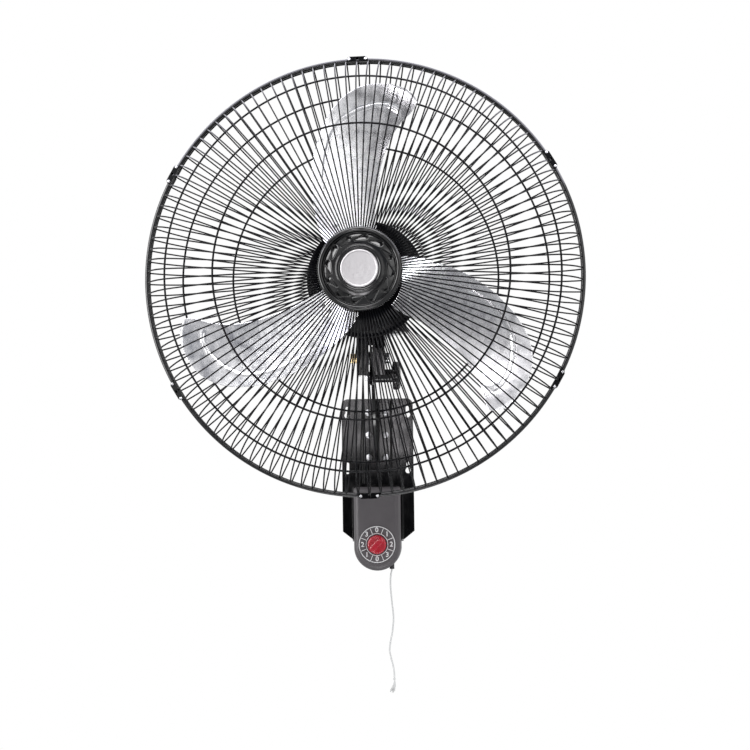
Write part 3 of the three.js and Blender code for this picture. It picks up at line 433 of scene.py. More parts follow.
def metal(name, color, roughness, streak=(1, 1, 1), tint=0.85):
    """Bare metal: streaks in its colour and roughness along the direction it was worked in."""
    material, surface = shader(name, color, roughness, metallic=1.0)
    links = material.node_tree.links
    streaks = noise(material, 220, 4, streak)
    dark = tuple(tint * c for c in color)
    links.new(ramp(material, streaks, [(0.3, dark), (0.7, color)]), surface.inputs["Base Color"])
    links.new(spread(material, streaks, roughness * 0.8, roughness * 1.3),
              surface.inputs["Roughness"])
    grain(material, surface, streaks, 0.08, 0.0001)
    return material


def moulded(name, color, roughness):
    """Coloured moulding or cast piece with a little unevenness."""
    material, surface = shader(name, color, roughness)
    links = material.node_tree.links
    pale = tuple(min(1, 1.15 * c) for c in color)
    links.new(ramp(material, noise(material, 60), [(0.3, color), (0.7, pale)]),
              surface.inputs["Base Color"])
    links.new(spread(material, noise(material, 200), roughness * 0.8, roughness * 1.25),
              surface.inputs["Roughness"])
    grain(material, surface, noise(material, 1200), 0.1, 0.00005)
    return material


def blade_aluminium():
    """Polished aluminium sheet, faintly streaked where it was rubbed along the blade."""
    material, surface = shader("blade_aluminium", (0.9, 0.9, 0.92), 0.2, metallic=1)
    links = material.node_tree.links
    rubbed = noise(material, 130, 4)
    links.new(ramp(material, rubbed, [
        (0.3, (0.72, 0.72, 0.75)), (0.6, (0.85, 0.85, 0.87))]), surface.inputs["Base Color"])
    links.new(spread(material, rubbed, 0.15, 0.24), surface.inputs["Roughness"])
    return material


def cotton():
    """White cotton: a soft sheen, fine lint and a slight yellowing."""
    material, surface = shader("white_cotton", (0.86, 0.86, 0.85), 0.85)
    surface.inputs["Sheen Weight"].default_value = 0.4
    links = material.node_tree.links
    links.new(ramp(material, noise(material, 900), [
        (0.3, (0.76, 0.76, 0.75)), (0.7, (0.92, 0.92, 0.91))]), surface.inputs["Base Color"])
    grain(material, surface, noise(material, 5000, 3), 0.5, 0.0001)
    return material


FINISH = {
    "black_enamel": black_enamel(),
    "wire_enamel": wire_enamel(),
    "box_plastic": box_plastic(),
    "black_plastic": black_plastic(),
    "blade_aluminium": blade_aluminium(),
    "badge_silver": metal("badge_silver", (0.38, 0.37, 0.38), 0.45, (1, 1, 8), 0.9),
    "zinc": metal("zinc", (0.55, 0.55, 0.57), 0.3),
    "laminated_steel": metal("laminated_steel", (0.30, 0.28, 0.26), 0.5, (1, 30, 1), 0.5),
    "nut_brass": metal("nut_brass", (0.60, 0.46, 0.26), 0.3),
    "knob_red": moulded("knob_red", (0.52, 0.012, 0.032), 0.22),
    "white_cotton": cotton(),
    "white_plastic": moulded("white_plastic", (0.70, 0.70, 0.68), 0.45),
    "seal_rubber": moulded("seal_rubber", (0.016, 0.016, 0.016), 0.7),
}
RIM_FINISH = rim_enamel()
DIAL_PRINT = moulded("dial_print", (0.84, 0.84, 0.84), 0.5)


def dressed(obj, finish):
    """Gives a piece its finish."""
    obj.data.materials.clear()
    obj.data.materials.append(FINISH[finish])


# ---------------------------------------------------------------- pull cord

# The cord's route, [x, z], chosen along its middle from the switch to the frayed end
CORD_ROUTE = [
    [17.5, -88], [17.5, -100], [17.5, -111], [17.5, -120], [17.2, -125.5], [15.9, -132],
    [15.3, -139], [15.4, -148], [16.1, -157], [17, -167.3], [18.1, -177], [18.5, -186.4],
    [17.8, -195.5], [16.4, -205], [14.2, -215.5], [13.2, -225.3], [14.6, -233], [16.5, -240.8],
    [17.8, -247.5], [18.6, -254], [18.6, -260.5]]


def pull_cord():
    """A thin braided cord: a tube whose radius rises and falls with two crossing helices."""
    route = smooth_line([[x, CORD_Y, z] for x, z in CORD_ROUTE], 480)
    lengths = np.concatenate([[0], np.cumsum(np.linalg.norm(np.diff(route, axis=0), axis=1))])
    sides, pitch = 16, 5
    vertices, faces = tubes(route[None], [[0, 1, 0]], CORD_R, sides)
    rings = vertices.reshape(len(route), sides, 3)
    angle = np.linspace(0, 2 * math.pi, sides, endpoint=False)[None, :]
    turn = 2 * math.pi * lengths[:, None] / pitch
    weave = 0.06 * (np.abs(np.sin(2 * angle + turn)) + np.abs(np.sin(2 * angle - turn))) - 0.09
    rings = rings + (rings - route[:, None]) * weave[:, :, None]
    cord = piece("braided_cord", rings, faces, "pull", "white_cotton", nodes=["pull_cord"])
    return cord, route, lengths[-1]


def frayed_end():
    """The cord's last stretch, untwisted: strands that spread downwards from one knot."""
    rng = np.random.default_rng(7)
    strands, stations = 26, 12
    x, z = CORD_ROUTE[-1]
    spread_to = rng.uniform(-1, 1, (strands, 2)) * [3.0, 1.7]
    start = np.array([x, CORD_Y, z + 0.9])
    lean = np.array([x - 2.7, CORD_Y, z - 16.7])
    t = np.linspace(0, 1, stations)[None, :, None]
    ends = lean + np.stack([spread_to[:, 0], spread_to[:, 1], rng.uniform(-0.2, 2.8, strands)], 1)
    sag = np.sin(math.pi * t) * np.array([0.9, 0, 0])
    paths = start + (ends - start)[:, None] * t ** np.array([1.35, 1.2, 1]) + sag
    paths[:, :, :2] += 0.12 * np.sin(9 * t + rng.uniform(0, 6, (strands, 1, 1)))
    thin = np.linspace(0.42, 0.24, stations)
    fibres = tubes(paths, np.tile([0, 1, 0], (strands, 1)), thin, 6)
    a = np.linspace(0, math.pi, 9)
    knot = np.stack([1.55 * np.sin(a), 1.7 * np.cos(a)], axis=1)
    ball, quads = turned(knot, 16)
    ball = ball[:, [0, 2, 1]] + np.array([x, CORD_Y, z - 0.1])
    return piece("frayed_cord_end", *combined(fibres, (ball, quads)), "pull", "white_cotton",
                 nodes=["pull_cord_end"])


cord, cord_line, cord_length = pull_cord()
frayed_end()


# ---------------------------------------------------------------- guard

FRONT_PROFILE = [[44, -58], [105, -55], [165, -50], [204, -41], [225, -32.5], [240, -17],
                 [246.6, -2.8]]
REAR_PROFILE = [[66.2, 34], [110, 32.2], [153, 29.6], [192, 26.6], [222, 22], [240, 14],
                [247, 8.8]]


def spokes(profile):
    """All spokes of a grille: one smooth line in a radial plane, repeated round the axis."""
    line = smooth_line(profile, 12)
    line = np.stack([line[:, 0], line[:, 1], np.zeros(len(line))], axis=1)
    angles = FIRST_WIRE + WIRE_STEP * np.arange(WIRES)
    paths = np.array([around(line, angle) for angle in angles])
    across = np.array([around([0, 0, 1], angle) for angle in angles])
    return tubes(paths, across, SPOKE_R, 6)


def on_spoke(profile, radius):
    """The depth of a grille's spokes at a radius."""
    line = smooth_line(profile, 200)
    return float(np.interp(radius, line[:, 0], line[:, 1]))


def tie(profile, radius, below, side):
    """A thin ring welded behind (1) or before (-1) the spokes, as deep as they are at `below`."""
    sunk = 0.25
    depth = on_spoke(profile, below) + side * (SPOKE_R + SUPPORT_R - sunk)
    return ring_wire(radius, depth, SUPPORT_R, sides=8)


def guard():
    """Both grilles, with the rings welded to them."""
    inner, outer, near, far = BACK_RING.values()
    band = rounded([[inner, near], [outer, near], [outer, far], [inner, far], [inner, near]], 0.8)
    front = {
        "front_spokes": (spokes(FRONT_PROFILE), ["front_grille"]),
        "front_rim": (ring_wire(RIM_R, 0, RIM_WIRE_R), []),
        "front_hub_ring": (ring_wire(HUB_RING_R, -HUB_RING_FRONT, 1.5, 120), []),
        "front_tie_inner": (tie(FRONT_PROFILE, 164.6, 164.6, 1), ["front_ring_inner"]),
        "front_tie_outer": (tie(FRONT_PROFILE, 221.4, 222, 1), ["front_ring_outer"]),
    }
    rear = {
        "rear_spokes": (spokes(REAR_PROFILE), ["rear_grille"]),
        "rear_rim": (ring_wire(RIM_R, REAR_RIM_BACK, REAR_RIM_WIRE_R), []),
        "rear_centre_band": (turned(band, 120), []),
        "rear_tie_inner": (tie(REAR_PROFILE, 153, 153, -1), ["rear_ring_inner"]),
        "rear_tie_outer": (tie(REAR_PROFILE, 210.6, 210.6, -1), ["rear_ring_outer"]),
    }
    for name, ((vertices, faces), nodes) in {**front, **rear}.items():
        made = piece(name, at_head(vertices), faces, "head", "wire_enamel", nodes=nodes)
        if name == "front_rim":
            made.data.materials[0] = RIM_FINISH


def rim_clips():
    """The pressed clips, with two bright rivets each."""
    face = -4.9
    dome, quads = turned(rounded(
        [[0, face - 0.9], [1.5, face - 0.5], [1.7, face + 0.3], [0, face + 0.3]], 0.4), 16)
    pair, faces = combined(*[(dome + [RIM_R + 1, 0, along], quads) for along in (-9.4, 9.4)])
    for k in range(CLIPS):
        softened(f"rim_clip_{k + 1}", 0.3, "black_enamel")
        rivets = around(pair, FIRST_CLIP + 360 / CLIPS * k)
        piece(f"clip_rivets_{k + 1}", at_head(rivets), faces, "head", "zinc")


guard()
rim_clips()


# ---------------------------------------------------------------- blades

# Edges of the top blade as [share of its reach, degrees], root to tip
TRAILING = [[0.195, 145], [0.388, 127.5], [0.569, 116.6], [0.7, 109.6], [0.835, 102.2],
            [0.925, 96], [0.98, 89.6], [1, 82], [0.989, 76]]
LEADING = [[0.195, 72], [0.361, 80.4], [0.492, 81], [0.609, 80.4], [0.713, 78.8],
           [0.813, 76], [0.885, 73.2], [0.939, 72.3], [0.971, 74]]
BLADE_RISE = (20, 7.5)   # half the twist's depth, at the root and at the tip
BLADE_CAMBER = 6

# The bead pressed into every blade, as [degrees, radius], from the tip's corner to the root
BEAD = np.array([[76, 183], [77.5, 194.5], [81, 198.5], [85, 197.5], [91, 191], [97, 181],
                 [101.8, 165], [106, 146], [111, 121], [118, 95]], dtype=float)
BEAD_HEIGHT = 0.9
BEAD_HALF = 1.6
RIVETS = [(66, 118), (55.6, 104), (57.4, 94)]   # radius and degrees of each


def bead_distance(radius, degrees):
    """How far a place lies outside the bead: along its radius, shortened by the bead's slant."""
    reach = np.interp(degrees, BEAD[:, 0], BEAD[:, 1])
    slope = np.gradient(BEAD[:, 1], np.radians(BEAD[:, 0])) / BEAD[:, 1]
    lean = np.interp(degrees, BEAD[:, 0], slope)
    return (radius - reach) / np.sqrt(1 + lean ** 2)


def blade_surface(u, v):
    """Points of the blade's front face: u from the trailing to the leading edge, v outwards.

    The two edges are smooth lines; a point lies between them in radius and angle. Its depth
    is the twist, which fades from root to tip, plus an arch across the chord, less the bead.
    Twist and arch flatten where the blade spans less than 30 degrees.
    """
    steps = 800
    station = np.round(v * (steps - 1)).astype(int)
    a = smooth_line(TRAILING, steps)[station][:, None]
    b = smooth_line(LEADING, steps)[station][:, None]
    u = u[None, :]
    radius = (a[..., 0] + (b[..., 0] - a[..., 0]) * u) * BLADE_TIP
    degrees = a[..., 1] + (b[..., 1] - a[..., 1]) * u
    root = TRAILING[0][0] * BLADE_TIP
    span = (radius - root) / (BLADE_TIP - root)
    rise = BLADE_RISE[0] + (BLADE_RISE[1] - BLADE_RISE[0]) * span
    chord = np.minimum(1, (a[..., 1] - b[..., 1]) / 30)
    twist = rise * (2 * u - 1) * chord
    arch = BLADE_CAMBER * 4 * u * (1 - u) * chord * (1 - 0.5 * span)
    ends = window(degrees, 76, 79) * (1 - window(degrees, 110, 118))
    bead = BEAD_HEIGHT * np.exp(-(bead_distance(radius, degrees) / BEAD_HALF) ** 2) * ends
    depth = twist + arch - bead
    angle = np.radians(degrees)
    return np.stack([radius * np.cos(angle), depth, radius * np.sin(angle)], axis=-1)


def blade():
    """A blade: its front face, its back face one sheet behind, and the edge between them."""
    rows, columns = 200, 100
    u, v = np.linspace(0, 1, columns), 1 - (1 - np.linspace(0, 1, rows)) ** 1.2
    front = blade_surface(u, v)
    back = front + np.array([0, BLADE_SHEET, 0])
    loop = np.concatenate([front, back[:, ::-1]], axis=1)
    faces = lattice(rows, 2 * columns, close_columns=True).tolist()
    last = (rows - 1) * 2 * columns
    pairs = [(i, i + 1, 2 * columns - 2 - i, 2 * columns - 1 - i) for i in range(columns - 1)]
    faces += [list(pair) for pair in pairs]
    faces += [[last + k for k in pair] for pair in pairs]
    return loop.reshape(-1, 3), faces


def blade_depth(radius, degrees):
    """The depth of the blade's front face at a place on it."""
    points = blade_surface(np.linspace(0, 1, 120), np.linspace(0, 1, 200)).reshape(-1, 3)
    x, z = radius * math.cos(math.radians(degrees)), radius * math.sin(math.radians(degrees))
    nearest = np.argmin((points[:, 0] - x) ** 2 + (points[:, 2] - z) ** 2)
    return points[nearest, 1]


def blades():
    """Three blades with the rivets that hold each to its arm."""
    vertices, faces = blade()
    dome, quads = turned(rounded(
        [[0, -1.5], [2.0, -1.1], [3.0, 0.2], [3.0, 0.8], [0, 0.8]], 0.6), 24)
    places = [[r * math.cos(math.radians(a)), blade_depth(r, a), r * math.sin(math.radians(a))]
              for r, a in RIVETS]
    rivets, rivet_faces = combined(*[(dome + place, quads) for place in places])
    for k in range(BLADES):
        turn = 360 / BLADES * k
        piece(f"blade_sheet_{k + 1}", at_head(around(vertices, turn)), faces, "fan",
              "blade_aluminium", nodes=[f"blade_{k + 1}"])
        piece(f"blade_rivets_{k + 1}", at_head(around(rivets, turn)), rivet_faces, "fan", "zinc")


blades()


# ---------------------------------------------------------------- hub cap and badge

CAP_FACE = -64
CAP_BACK = -59.6
CAP_LIP = -66.2
CAP_RING = (27.2, 39.9)  # radii between which the cap's face is one smooth slope
SCOOPS = 12
FIRST_SCOOP = -10
SCOOP = {"r": 35.2, "round": 4.2, "tail": 31.2, "sweep": 22, "depth": 2.6}


def scoops(radius, angle, depth):
    """How deep the cap's swirl is cut: twelve teardrops whose round ends lie further out.

    A teardrop is the space within a radius of a straight line, a radius that shrinks from
    the line's outer, clockwise end to its inner one. Its floor leans outwards: it leaves the
    face at the teardrop's inner side and is deepest below a steep outer side.
    """
    pitch = 2 * math.pi / SCOOPS
    first = math.radians(FIRST_SCOOP)
    angle = np.mod(angle - first + pitch / 3, pitch) - pitch / 3
    x, z = radius * np.cos(angle), radius * np.sin(angle)
    start = np.array([SCOOP["r"], 0])
    swing = math.radians(SCOOP["sweep"])
    end = SCOOP["tail"] * np.array([math.cos(swing), math.sin(swing)])
    line = end - start
    share = np.clip(((x - start[0]) * line[0] + (z - start[1]) * line[1]) / (line @ line), 0, 1)
    off = np.hypot(x - start[0] - share * line[0], z - start[1] - share * line[1])
    room = (SCOOP["round"] * (1 - share) + share - off) / SCOOP["round"]
    outwards = radius - np.hypot(start[0] + share * line[0], start[1] + share * line[1])
    lean = np.clip(0.5 + 0.5 * outwards / SCOOP["round"], 0, 1)
    inner, outer = CAP_RING
    on_face = (depth < CAP_FACE + 3) & (radius > inner + 0.2) & (radius < outer + 0.3)
    return np.where(on_face, SCOOP["depth"] * lean * window(room, 0, 0.35), 0)


def hub_cap():
    """The guard's centre cap: a domed ring with a swirl, a rolled lip and a badge seat."""
    seat = BADGE_R + 0.3
    edge = rounded([
        [0, CAP_BACK - 1.6], [seat, CAP_BACK - 1.6], [seat, CAP_FACE - 1.6],
        [23.0, CAP_FACE - 2.5], [25.4, CAP_FACE - 2.4], [26.8, CAP_FACE - 0.7]], 0.7, 6)
    share = np.linspace(0, 1, 64)
    radius = CAP_RING[0] + (CAP_RING[1] - CAP_RING[0]) * share
    face = np.stack([radius, CAP_FACE - 1.2 + 0.8 * share + 2.6 * share ** 2], axis=1)
    lip = rounded([
        [40.3, CAP_FACE + 1.9], [41.6, CAP_LIP + 0.2], [44.4, CAP_LIP - 0.2],
        [46.6, CAP_LIP + 2.2], [CAP_R, CAP_BACK], [43.5, CAP_BACK], [42, CAP_BACK - 1],
        [25, CAP_BACK - 1], [23, CAP_BACK], [0, CAP_BACK]], 1.7, 8)
    vertices, faces = turned(np.concatenate([edge, face, lip]), 480, scoops)
    piece("swirl_cap", at_head(vertices), faces, "head", "black_plastic", nodes=["hub_cap"])


def hub_badge():
    """A bare silver disc with a raised rim, set in the cap."""
    profile = rounded([
        [0, CAP_LIP + 0.55], [18.4, CAP_LIP + 0.55], [19.2, CAP_LIP + 0.1], [20.4, CAP_LIP + 0.2],
        [BADGE_R, CAP_LIP + 1.4], [BADGE_R, CAP_BACK - 1.9], [0, CAP_BACK - 1.9]], 0.5)
    vertices, faces = turned(profile, 128)
    piece("silver_badge", at_head(vertices), faces, "head", "badge_silver", nodes=["hub_badge"])


hub_cap()
hub_badge()


# ---------------------------------------------------------------- motor

def motor_covers():
    """The pressed front cover, turned smooth, and the slotted rear one."""
    front = rounded([
        [8, 38], [56, 38], [MOTOR_R, 42], [MOTOR_R, 65.6], [57.8, 65.6], [57.8, 43.2],
        [55, 40.4], [16, 40.4], [16, 50], [13.3, 50], [13.3, 40.4], [8, 40.4], [8, 38]], 1.4)
    vertices, faces = turned(front, 128)
    piece("motor_front_shell", at_head(vertices), faces, "head", "black_enamel",
          nodes=["motor_front_cover"])
    softened("motor_rear_cover", 0.6, "black_enamel")


motor_covers()


# ---------------------------------------------------------------- control box

def tombstone(margin, depth):
    """The box's outline at a depth, drawn in by a margin.

    The left side with its rounded top corner is mirrored to the right, and a half circle
    joins the two below.
    """
    reach, top, centre = BOX["half"] - margin, BOX["top"] - margin, BOX["centre"]
    a = np.linspace(math.pi, 2 * math.pi, 40)
    foot = np.stack([reach * np.cos(a), centre + reach * np.sin(a)], 1)
    heights = np.linspace(top - 3, centre, 12, endpoint=False)
    side = np.stack([np.full(12, -reach), heights], 1)
    a = np.linspace(0, math.pi / 2, 6)[:-1]
    r = min(3.0, reach)
    corner = np.stack([-reach + r * (1 - np.sin(a)), top - r * (1 - np.cos(a))], 1)
    left = np.concatenate([corner, side])
    outline = np.concatenate([left, foot, left[::-1] * [-1, 1]])
    return np.insert(outline, 1, -depth, axis=1)


def box_cover():
    """The moulded cover: its outline carried through margins and depths, front to back."""
    front, back, wall = BOX["front"], BOX["back"], BOX["wall"]
    draw, deep = BOX_BEVEL["in"], BOX_BEVEL["deep"]
    path = rounded([
        [BOX["half"], front], [draw, front], [draw * 0.42, front - deep * 0.32],
        [0.15, front - deep], [0, back], [wall, back], [wall, front - deep - 0.6],
        [draw + 1.4, front - wall], [BOX["half"], front - wall]], 1.1, 5)
    rings = np.array([tombstone(margin, depth) for margin, depth in path])
    rows, columns = rings.shape[:2]
    piece("moulded_cover", rings, lattice(rows, columns, close_columns=True), "wall_side",
          "box_plastic", nodes=["control_box_cover"])


def print_on_dial(text, height):
    """A numeral as a thin flat shape in the (x, z) plane, centred on the origin."""
    words = bpy.data.curves.new("numeral", "FONT")
    words.body = text
    words.size = height
    words.align_x = "CENTER"
    words.align_y = "CENTER"
    words.extrude = 0.02
    words.offset = 0.22
    words.resolution_u = 3
    holder = bpy.data.objects.new("numeral", words)
    bpy.context.scene.collection.objects.link(holder)
    mesh = bpy.data.meshes.new_from_object(holder.evaluated_get(
        bpy.context.evaluated_depsgraph_get()))
    points = np.array([vertex.co[:] for vertex in mesh.vertices])
    faces = [list(polygon.vertices) for polygon in mesh.polygons]
    bpy.data.objects.remove(holder)
    bpy.data.meshes.remove(mesh)
    return points[:, [0, 2, 1]] * [1, -1, 1], faces


def dial():
    """The dial plate, its printed circles and sector lines, and two runs of numerals."""
    face = -BOX["front"] - 0.9
    back = -BOX["front"] - 0.3
    plate = rounded([[3.7, face], [DIAL_R, face], [DIAL_R, back], [3.7, back], [3.7, face]], 0.2)
    vertices, faces = turned(plate, 96)
    piece("dial_disc", vertices + [0, 0, DIAL_Z], faces, "wall_side", "box_plastic",
          nodes=["dial_plate"])
    ink, foot = face - 0.03, face + 0.1
    outer, inner = 22.2, 13.6
    marks = []
    for radius, width in ((outer, 1.0), (inner, 0.85)):
        near, far = radius - width / 2, radius + width / 2
        marks.append(turned([[near, foot], [near, ink], [far, ink], [far, foot], [near, foot]]))
    line = np.array([[r, y, w] for r in (inner, outer) for y in (foot, ink)
                     for w in (-0.4, 0.4)])
    sides = [[0, 1, 3, 2], [4, 5, 7, 6], [0, 1, 5, 4], [2, 3, 7, 6], [0, 2, 6, 4], [1, 3, 7, 5]]
    numerals = "01230123"
    sector = 360 / len(numerals)
    middle = (inner + outer) / 2
    for k, numeral in enumerate(numerals):
        marks.append((around(line, sector * (k + 0.5)), sides))
        points, polygons = print_on_dial(numeral, 8.4)
        a = math.radians(90 - sector * k)
        place = np.array([middle * math.cos(a), face - 0.02, middle * math.sin(a)])
        marks.append((points + place, polygons))
    vertices, faces = combined(*marks)
    made = piece("dial_marks", vertices + [0, 0, DIAL_Z], faces, "wall_side", "white_plastic",
                 smooth=False)
    made.data.materials[0] = DIAL_PRINT


def speed_knob():
    """The red knob: a scalloped skirt and a raised grip bar towards the upper right."""
    skirt = rounded([
        [3.3, KNOB_BACK], [KNOB_R, KNOB_BACK], [KNOB_R - 0.2, KNOB_BACK - 3.6],
        [KNOB_R - 1.6, KNOB_BACK - 4.8], [0, KNOB_BACK - 5.0]], 0.8, 5)
    vertices, faces = turned(skirt, 144)
    radius = np.hypot(vertices[:, 0], vertices[:, 2])
    angle = np.arctan2(vertices[:, 2], vertices[:, 0])
    scallops = 18
    ripple = 1 - 0.022 * (0.5 + 0.5 * np.cos(scallops * angle)) * (radius > 9)
    vertices = vertices * np.stack([ripple, np.ones_like(ripple), ripple], axis=1)
    path = rounded([[0, KNOB_BACK - 11.2], [3.0, KNOB_BACK - 11.2], [4.2, KNOB_BACK - 10],
                    [4.5, KNOB_BACK - 4.4]], 1.0, 5)
    a = np.linspace(0, 2 * math.pi, 64, endpoint=False)
    stretch = 6.4 * np.clip(np.cos(a) * 8, -1, 1)
    rings = np.array([np.stack([
        r * np.cos(a) + stretch * min(1, r / 4.0 + 0.05), np.full(len(a), y), r * np.sin(a)], 1)
        for r, y in path])
    grip = (around(rings.reshape(-1, 3), 45), lattice(len(path), len(a), close_columns=True))
    vertices, faces = combined((vertices, faces), grip)
    piece("ribbed_knob", vertices + [0, 0, DIAL_Z], faces, "speed_control", "knob_red",
          nodes=["speed_knob"])


box_cover()
dial()
speed_knob()


# ---------------------------------------------------------------- plate, bracket and neck

def cross_recess(radius, angle, depth):
    """How deep a screw's crossed recess is cut into its head, whose face is at depth 0."""
    aside = np.minimum(np.abs(radius * np.cos(angle)), np.abs(radius * np.sin(angle)))
    return np.where((aside < 0.45) & (radius < 2.1) & (depth < 1), 0.7, 0)


def bracket_screws():
    """Dome headed screws with a crossed recess, each in place of its CAD solid."""
    for k in range(6):
        node = f"bracket_screw_{k + 1}"
        low, high = (np.array(corner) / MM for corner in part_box(node))
        middle, length = (low + high) / 2, high[1] - low[1]
        dome = rounded([[0, 0], [2.2, 0.4], [4.2, 2.0], [4.2, 2.5], [2, 2.5], [2, length],
                        [0, length]], 1.0, 5)
        vertices, faces = turned(dome, 48, cross_recess)
        piece(f"dome_screw_{k + 1}", vertices + [middle[0], low[1], middle[2]], faces,
              "wall_side", "zinc", nodes=[node])


def clamp_knob():
    """The tilt clamp's knob: finger hollows round a disc with a domed face, and its boss."""
    reach, hollow, fingers = 17, 1.1, 12
    a = np.linspace(0, 2 * math.pi, 180, endpoint=False)
    share = np.mod(a * fingers / (2 * math.pi), 1)
    grip = 1 - hollow / reach * np.exp(-((share - 0.5) / 0.16) ** 2)
    path = rounded([
        [0, 35.4], [11, 35.2], [15.4, 34.2], [reach, 31.5], [reach, 26.6], [15.8, 25.4],
        [8, 25.4], [8, 2.2], [3.3, 2.2], [3.3, 23.8], [0, 23.8]], 1.2)
    rings = []
    for r, x in path:
        ring = r * np.where(r > 12, grip, 1)
        rings.append(np.stack([np.full(len(a), x), ring * np.cos(a), ring * np.sin(a)], 1))
    place = np.array([0, BOLT[1], BOLT[2] - CLAMP_DOWN])
    piece("grip_knob", np.array(rings) + place, lattice(len(path), len(a), close_columns=True),
          "clamp", "black_plastic", nodes=["tilt_knob"])


# CAD nodes that only get finer edges: the width of the rounding, and the finish
SOFTENED = {
    "wall_plate": (0.5, "black_enamel"), "arm_bracket": (0.5, "black_enamel"),
    "control_box_base": (0.4, "black_enamel"), "neck_yoke": (0.6, "black_enamel"),
    "motor_bracket": (0.6, "black_enamel"), "oscillation_motor": (0.8, "black_plastic"),
    "blade_hub": (0.5, "black_enamel"), "spinner_nut": (0.6, "black_plastic"),
    "grille_spider": (0.4, "black_enamel"), "tilt_bolt": (0.5, "zinc"),
    "tilt_nut": (0.5, "nut_brass"), "crank_disc": (0.3, "zinc"), "crank_link": (0.3, "zinc"),
    "clamp_nut": (0.4, "zinc"), "terminal_block": (0.5, "white_plastic"),
    "capacitor": (0.8, "black_plastic"),
}

bracket_screws()
clamp_knob()
for node, (width, finish) in SOFTENED.items():
    softened(node, width, finish)


# ---------------------------------------------------------------- nodes kept from the frame

KEPT_FINISH = {entry["node"]: entry["material_slot"] for entry in frame["record"]["subparts"]}
for node, finish in KEPT_FINISH.items():
    slots = frame["nodes"][node].data.materials
    slots.clear()
    slots.append(FINISH[finish])


# ---------------------------------------------------------------- studio

def floor():
    """A plain pale floor, under everything that hangs from the wall."""
    half, near, far, level = 2500, -3500, 1300, -1250
    corners = np.array([[x, y, level] for x, y in (
        (-half, near), (half, near), (half, far), (-half, far))], dtype=float) * MM
    mesh = bpy.data.meshes.new("floor")
    mesh.from_pydata(corners.tolist(), [], [[0, 1, 2, 3]])
    obj = bpy.data.objects.new("floor", mesh)
    mesh.materials.append(shader("floor_paint", (0.9, 0.9, 0.9), 1, gleam=0)[0])
    bpy.context.scene.collection.objects.link(obj)


def soft_light(name, place, wide, high, watts):
    """An upright lamp, in metres, that looks at a point just below the fan's hub."""
    lamp = bpy.data.lights.new(name, "AREA")
    lamp.shape = "RECTANGLE"
    lamp.size, lamp.size_y = wide, high
    lamp.energy = watts
    obj = bpy.data.objects.new(name, lamp)
    bpy.context.scene.collection.objects.link(obj)
    target = np.array([0, -RIM_REACH, AXIS_UP - 60]) * MM
    back = np.array(place) - target
    back /= np.linalg.norm(back)
    right = np.cross([0, 0, 1], back)
    right /= np.linalg.norm(right)
    pose = np.eye(4)
    pose[:3, :3] = np.stack([right, np.cross(back, right), back], axis=1)
    pose[:3, 3] = place
    obj.matrix_world = Matrix(pose.tolist())


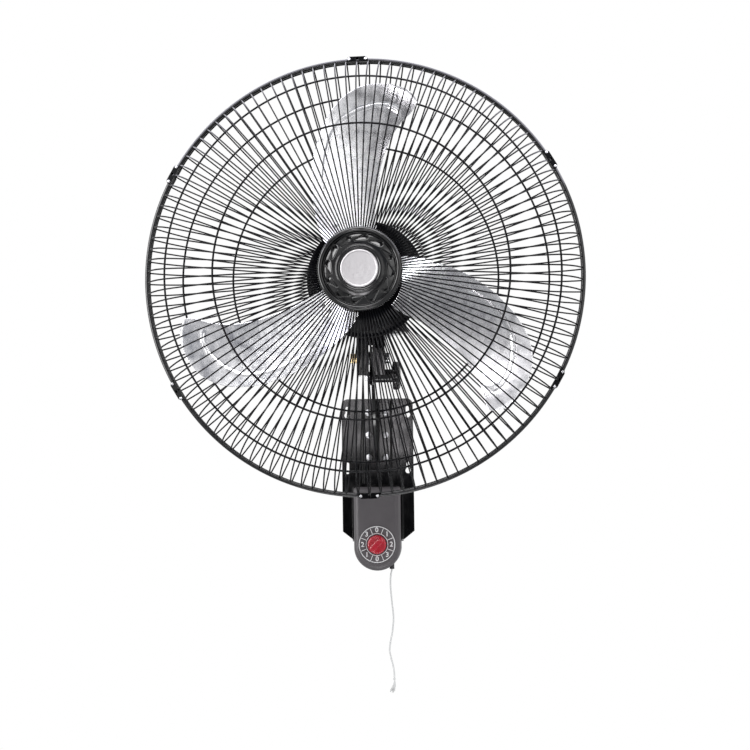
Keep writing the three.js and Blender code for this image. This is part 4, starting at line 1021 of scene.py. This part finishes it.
# Boards that only reflections show, each a strip between two lines of [azimuth, elevation]
# seen from the fan's head: how bright it is, its colour and how many millimetres off it stands
BOARDS = {
    "board_low": (0.04, (1, 1, 1.05), 1600, [
        [[-10, -26], [-10, -5]], [[0, -26], [0, -7]]]),
    "board_middle": (0.12, (1, 1, 1.03), 1600, [
        [[4, -5], [4, 2.6]], [[12, -5], [12, 2.4]], [[18, -2.5], [18, 1.6]]]),
    "board_camera": (0.2, (1, 1, 1.03), 1650, [
        [[-10, -8], [-10, 13]], [[0, -20], [0, 11]], [[8, -13], [8, 3]]]),
    "board_right": (0.45, (1, 1, 1), 1600, [
        [[19, 2.2], [19, 4]], [[30, 4.5], [30, 7.5]], [[42, 8], [42, 10]]]),
    "board_above": (0.14, (0.85, 0.92, 1.2), 1600, [
        [[-43, 44], [-41, 46]], [[-32, 40], [-29, 43.5]], [[-22, 34.5], [-18, 38.5]],
        [[-14, 30.5], [-9, 35]], [[-10, 26], [-4, 30]], [[-8, 21], [-2.5, 22]],
        [[-5, 15], [-1, 15]]]),
    "board_upper_right": (0.3, (0.95, 1, 1.1), 1600, [
        [[0, 14], [0, 26]], [[8, 8], [8, 27]], [[18, 5], [20, 26]]]),
    "board_left": (0.06, (0.8, 0.9, 1.5), 1600, [
        [[-95, 28], [-95, 41]], [[-80, 31], [-80, 43.5]], [[-62, 33], [-62, 44]],
        [[-48, 31], [-46, 41]], [[-38, 28], [-35, 38]], [[-26, 24], [-21, 32]]]),
    "board_pale": (0.9, (1, 1, 1), 1700, [
        [[-95, 38], [-95, 48]], [[-60, 41], [-60, 51]], [[-40, 38], [-36, 51]],
        [[-20, 32], [-13, 43]]]),
    "board_below": (0.17, (1, 0.97, 1.08), 1600, [
        [[-38, -60], [-35, -60]], [[-32.5, -42], [-29.5, -42]], [[-29.5, -28], [-25, -28]],
        [[-27, -16], [-21, -16]], [[-25.5, -8], [-19, -8]]]),
    "board_side": (0.45, (1, 1, 1.04), 1600, [
        [[-27, 7], [-13, 7]], [[-30, 16], [-14, 16]]]),
    "softbox_upper_left": (11, (1, 1, 1), 1800, [
        [[40, 46], [60, 64]], [[20, 48], [40, 70]], [[0, 48], [0, 72]], [[-24, 43], [-50, 62]],
        [[-38, 33], [-72, 42]], [[-44, 19], [-78, 24]], [[-48, 0], [-78, 2]],
        [[-48, -14], [-76, -18]]]),
    "softbox_low": (11, (1, 1, 1), 1500, [
        [[-60, -70], [-60, -62]], [[0, -74], [0, -64]], [[60, -70], [60, -62]]]),
    "softbox_plate_left": (12, (1, 0.97, 1), 900, [
        [[-8.5, -11.2], [-6, -11.2]], [[-8.5, 0.4], [-6, 0.4]]]),
    "softbox_plate_right": (12, (1, 0.97, 1), 900, [
        [[-3.6, -12], [0, -12]], [[-3.6, 0.4], [0, 0.4]]]),
    "softbox_rim": (6, (0.96, 0.95, 1.05), 290, [
        [[76, 24.3], [96.3, 24.9]], [[70.7, 48.4], [98.9, 49.7]], [[48.9, 70.4], [111.2, 74]],
        [[-48.9, 70.4], [-111.2, 74]], [[-70.7, 48.4], [-98.9, 49.7]],
        [[-75.7, 27.3], [-96.5, 27.8]]]),
}


def reflection_boards():
    """Curved boards on spheres round the fan's head, that light nothing by themselves."""
    for name, (glow, color, reach, rows) in BOARDS.items():
        azimuth, elevation = np.moveaxis(np.radians(np.array(rows, dtype=float)), -1, 0)
        corners = at_head(reach * np.stack([
            np.sin(azimuth) * np.cos(elevation), -np.cos(azimuth) * np.cos(elevation),
            np.sin(elevation)], axis=-1)) * MM
        mesh = bpy.data.meshes.new(name)
        mesh.from_pydata(corners.reshape(-1, 3).tolist(), [], lattice(len(rows), 2).tolist())
        obj = bpy.data.objects.new(name, mesh)
        material, surface = shader(name, (0, 0, 0), 1, gleam=0)
        surface.inputs["Emission Color"].default_value = (*color, 1)
        surface.inputs["Emission Strength"].default_value = glow
        mesh.materials.append(material)
        obj.visible_camera = obj.visible_diffuse = obj.visible_shadow = False
        obj.visible_transmission = False
        bpy.context.scene.collection.objects.link(obj)


def surroundings():
    """White where the camera, a mirror or glass looks, and a softer grey as a light."""
    world = bpy.data.worlds.new("studio")
    bpy.context.scene.world = world
    world.use_nodes = True
    nodes, links = world.node_tree.nodes, world.node_tree.links
    nodes.clear()
    rays = nodes.new("ShaderNodeLightPath")
    seen, through = nodes.new("ShaderNodeMath"), nodes.new("ShaderNodeMath")
    seen.operation = through.operation = "MAXIMUM"
    links.new(rays.outputs["Is Camera Ray"], seen.inputs[0])
    links.new(rays.outputs["Is Glossy Ray"], seen.inputs[1])
    links.new(seen.outputs["Value"], through.inputs[0])
    links.new(rays.outputs["Is Transmission Ray"], through.inputs[1])
    soft, white = nodes.new("ShaderNodeBackground"), nodes.new("ShaderNodeBackground")
    soft.inputs["Color"].default_value = (0.95, 0.97, 1.0, 1)
    soft.inputs["Strength"].default_value = 0.55
    white.inputs["Color"].default_value = (1, 1, 1, 1)
    white.inputs["Strength"].default_value = 1.0
    mix, out = nodes.new("ShaderNodeMixShader"), nodes.new("ShaderNodeOutputWorld")
    links.new(through.outputs["Value"], mix.inputs["Fac"])
    links.new(soft.outputs["Background"], mix.inputs[1])
    links.new(white.outputs["Background"], mix.inputs[2])
    links.new(mix.outputs["Shader"], out.inputs["Surface"])


floor()
reflection_boards()
surroundings()
soft_light("key", (-1.3, -2.0, 1.9), 0.9, 0.9, 32)
soft_light("fill", (1.7, -1.8, 0.7), 1.6, 1.6, 12)
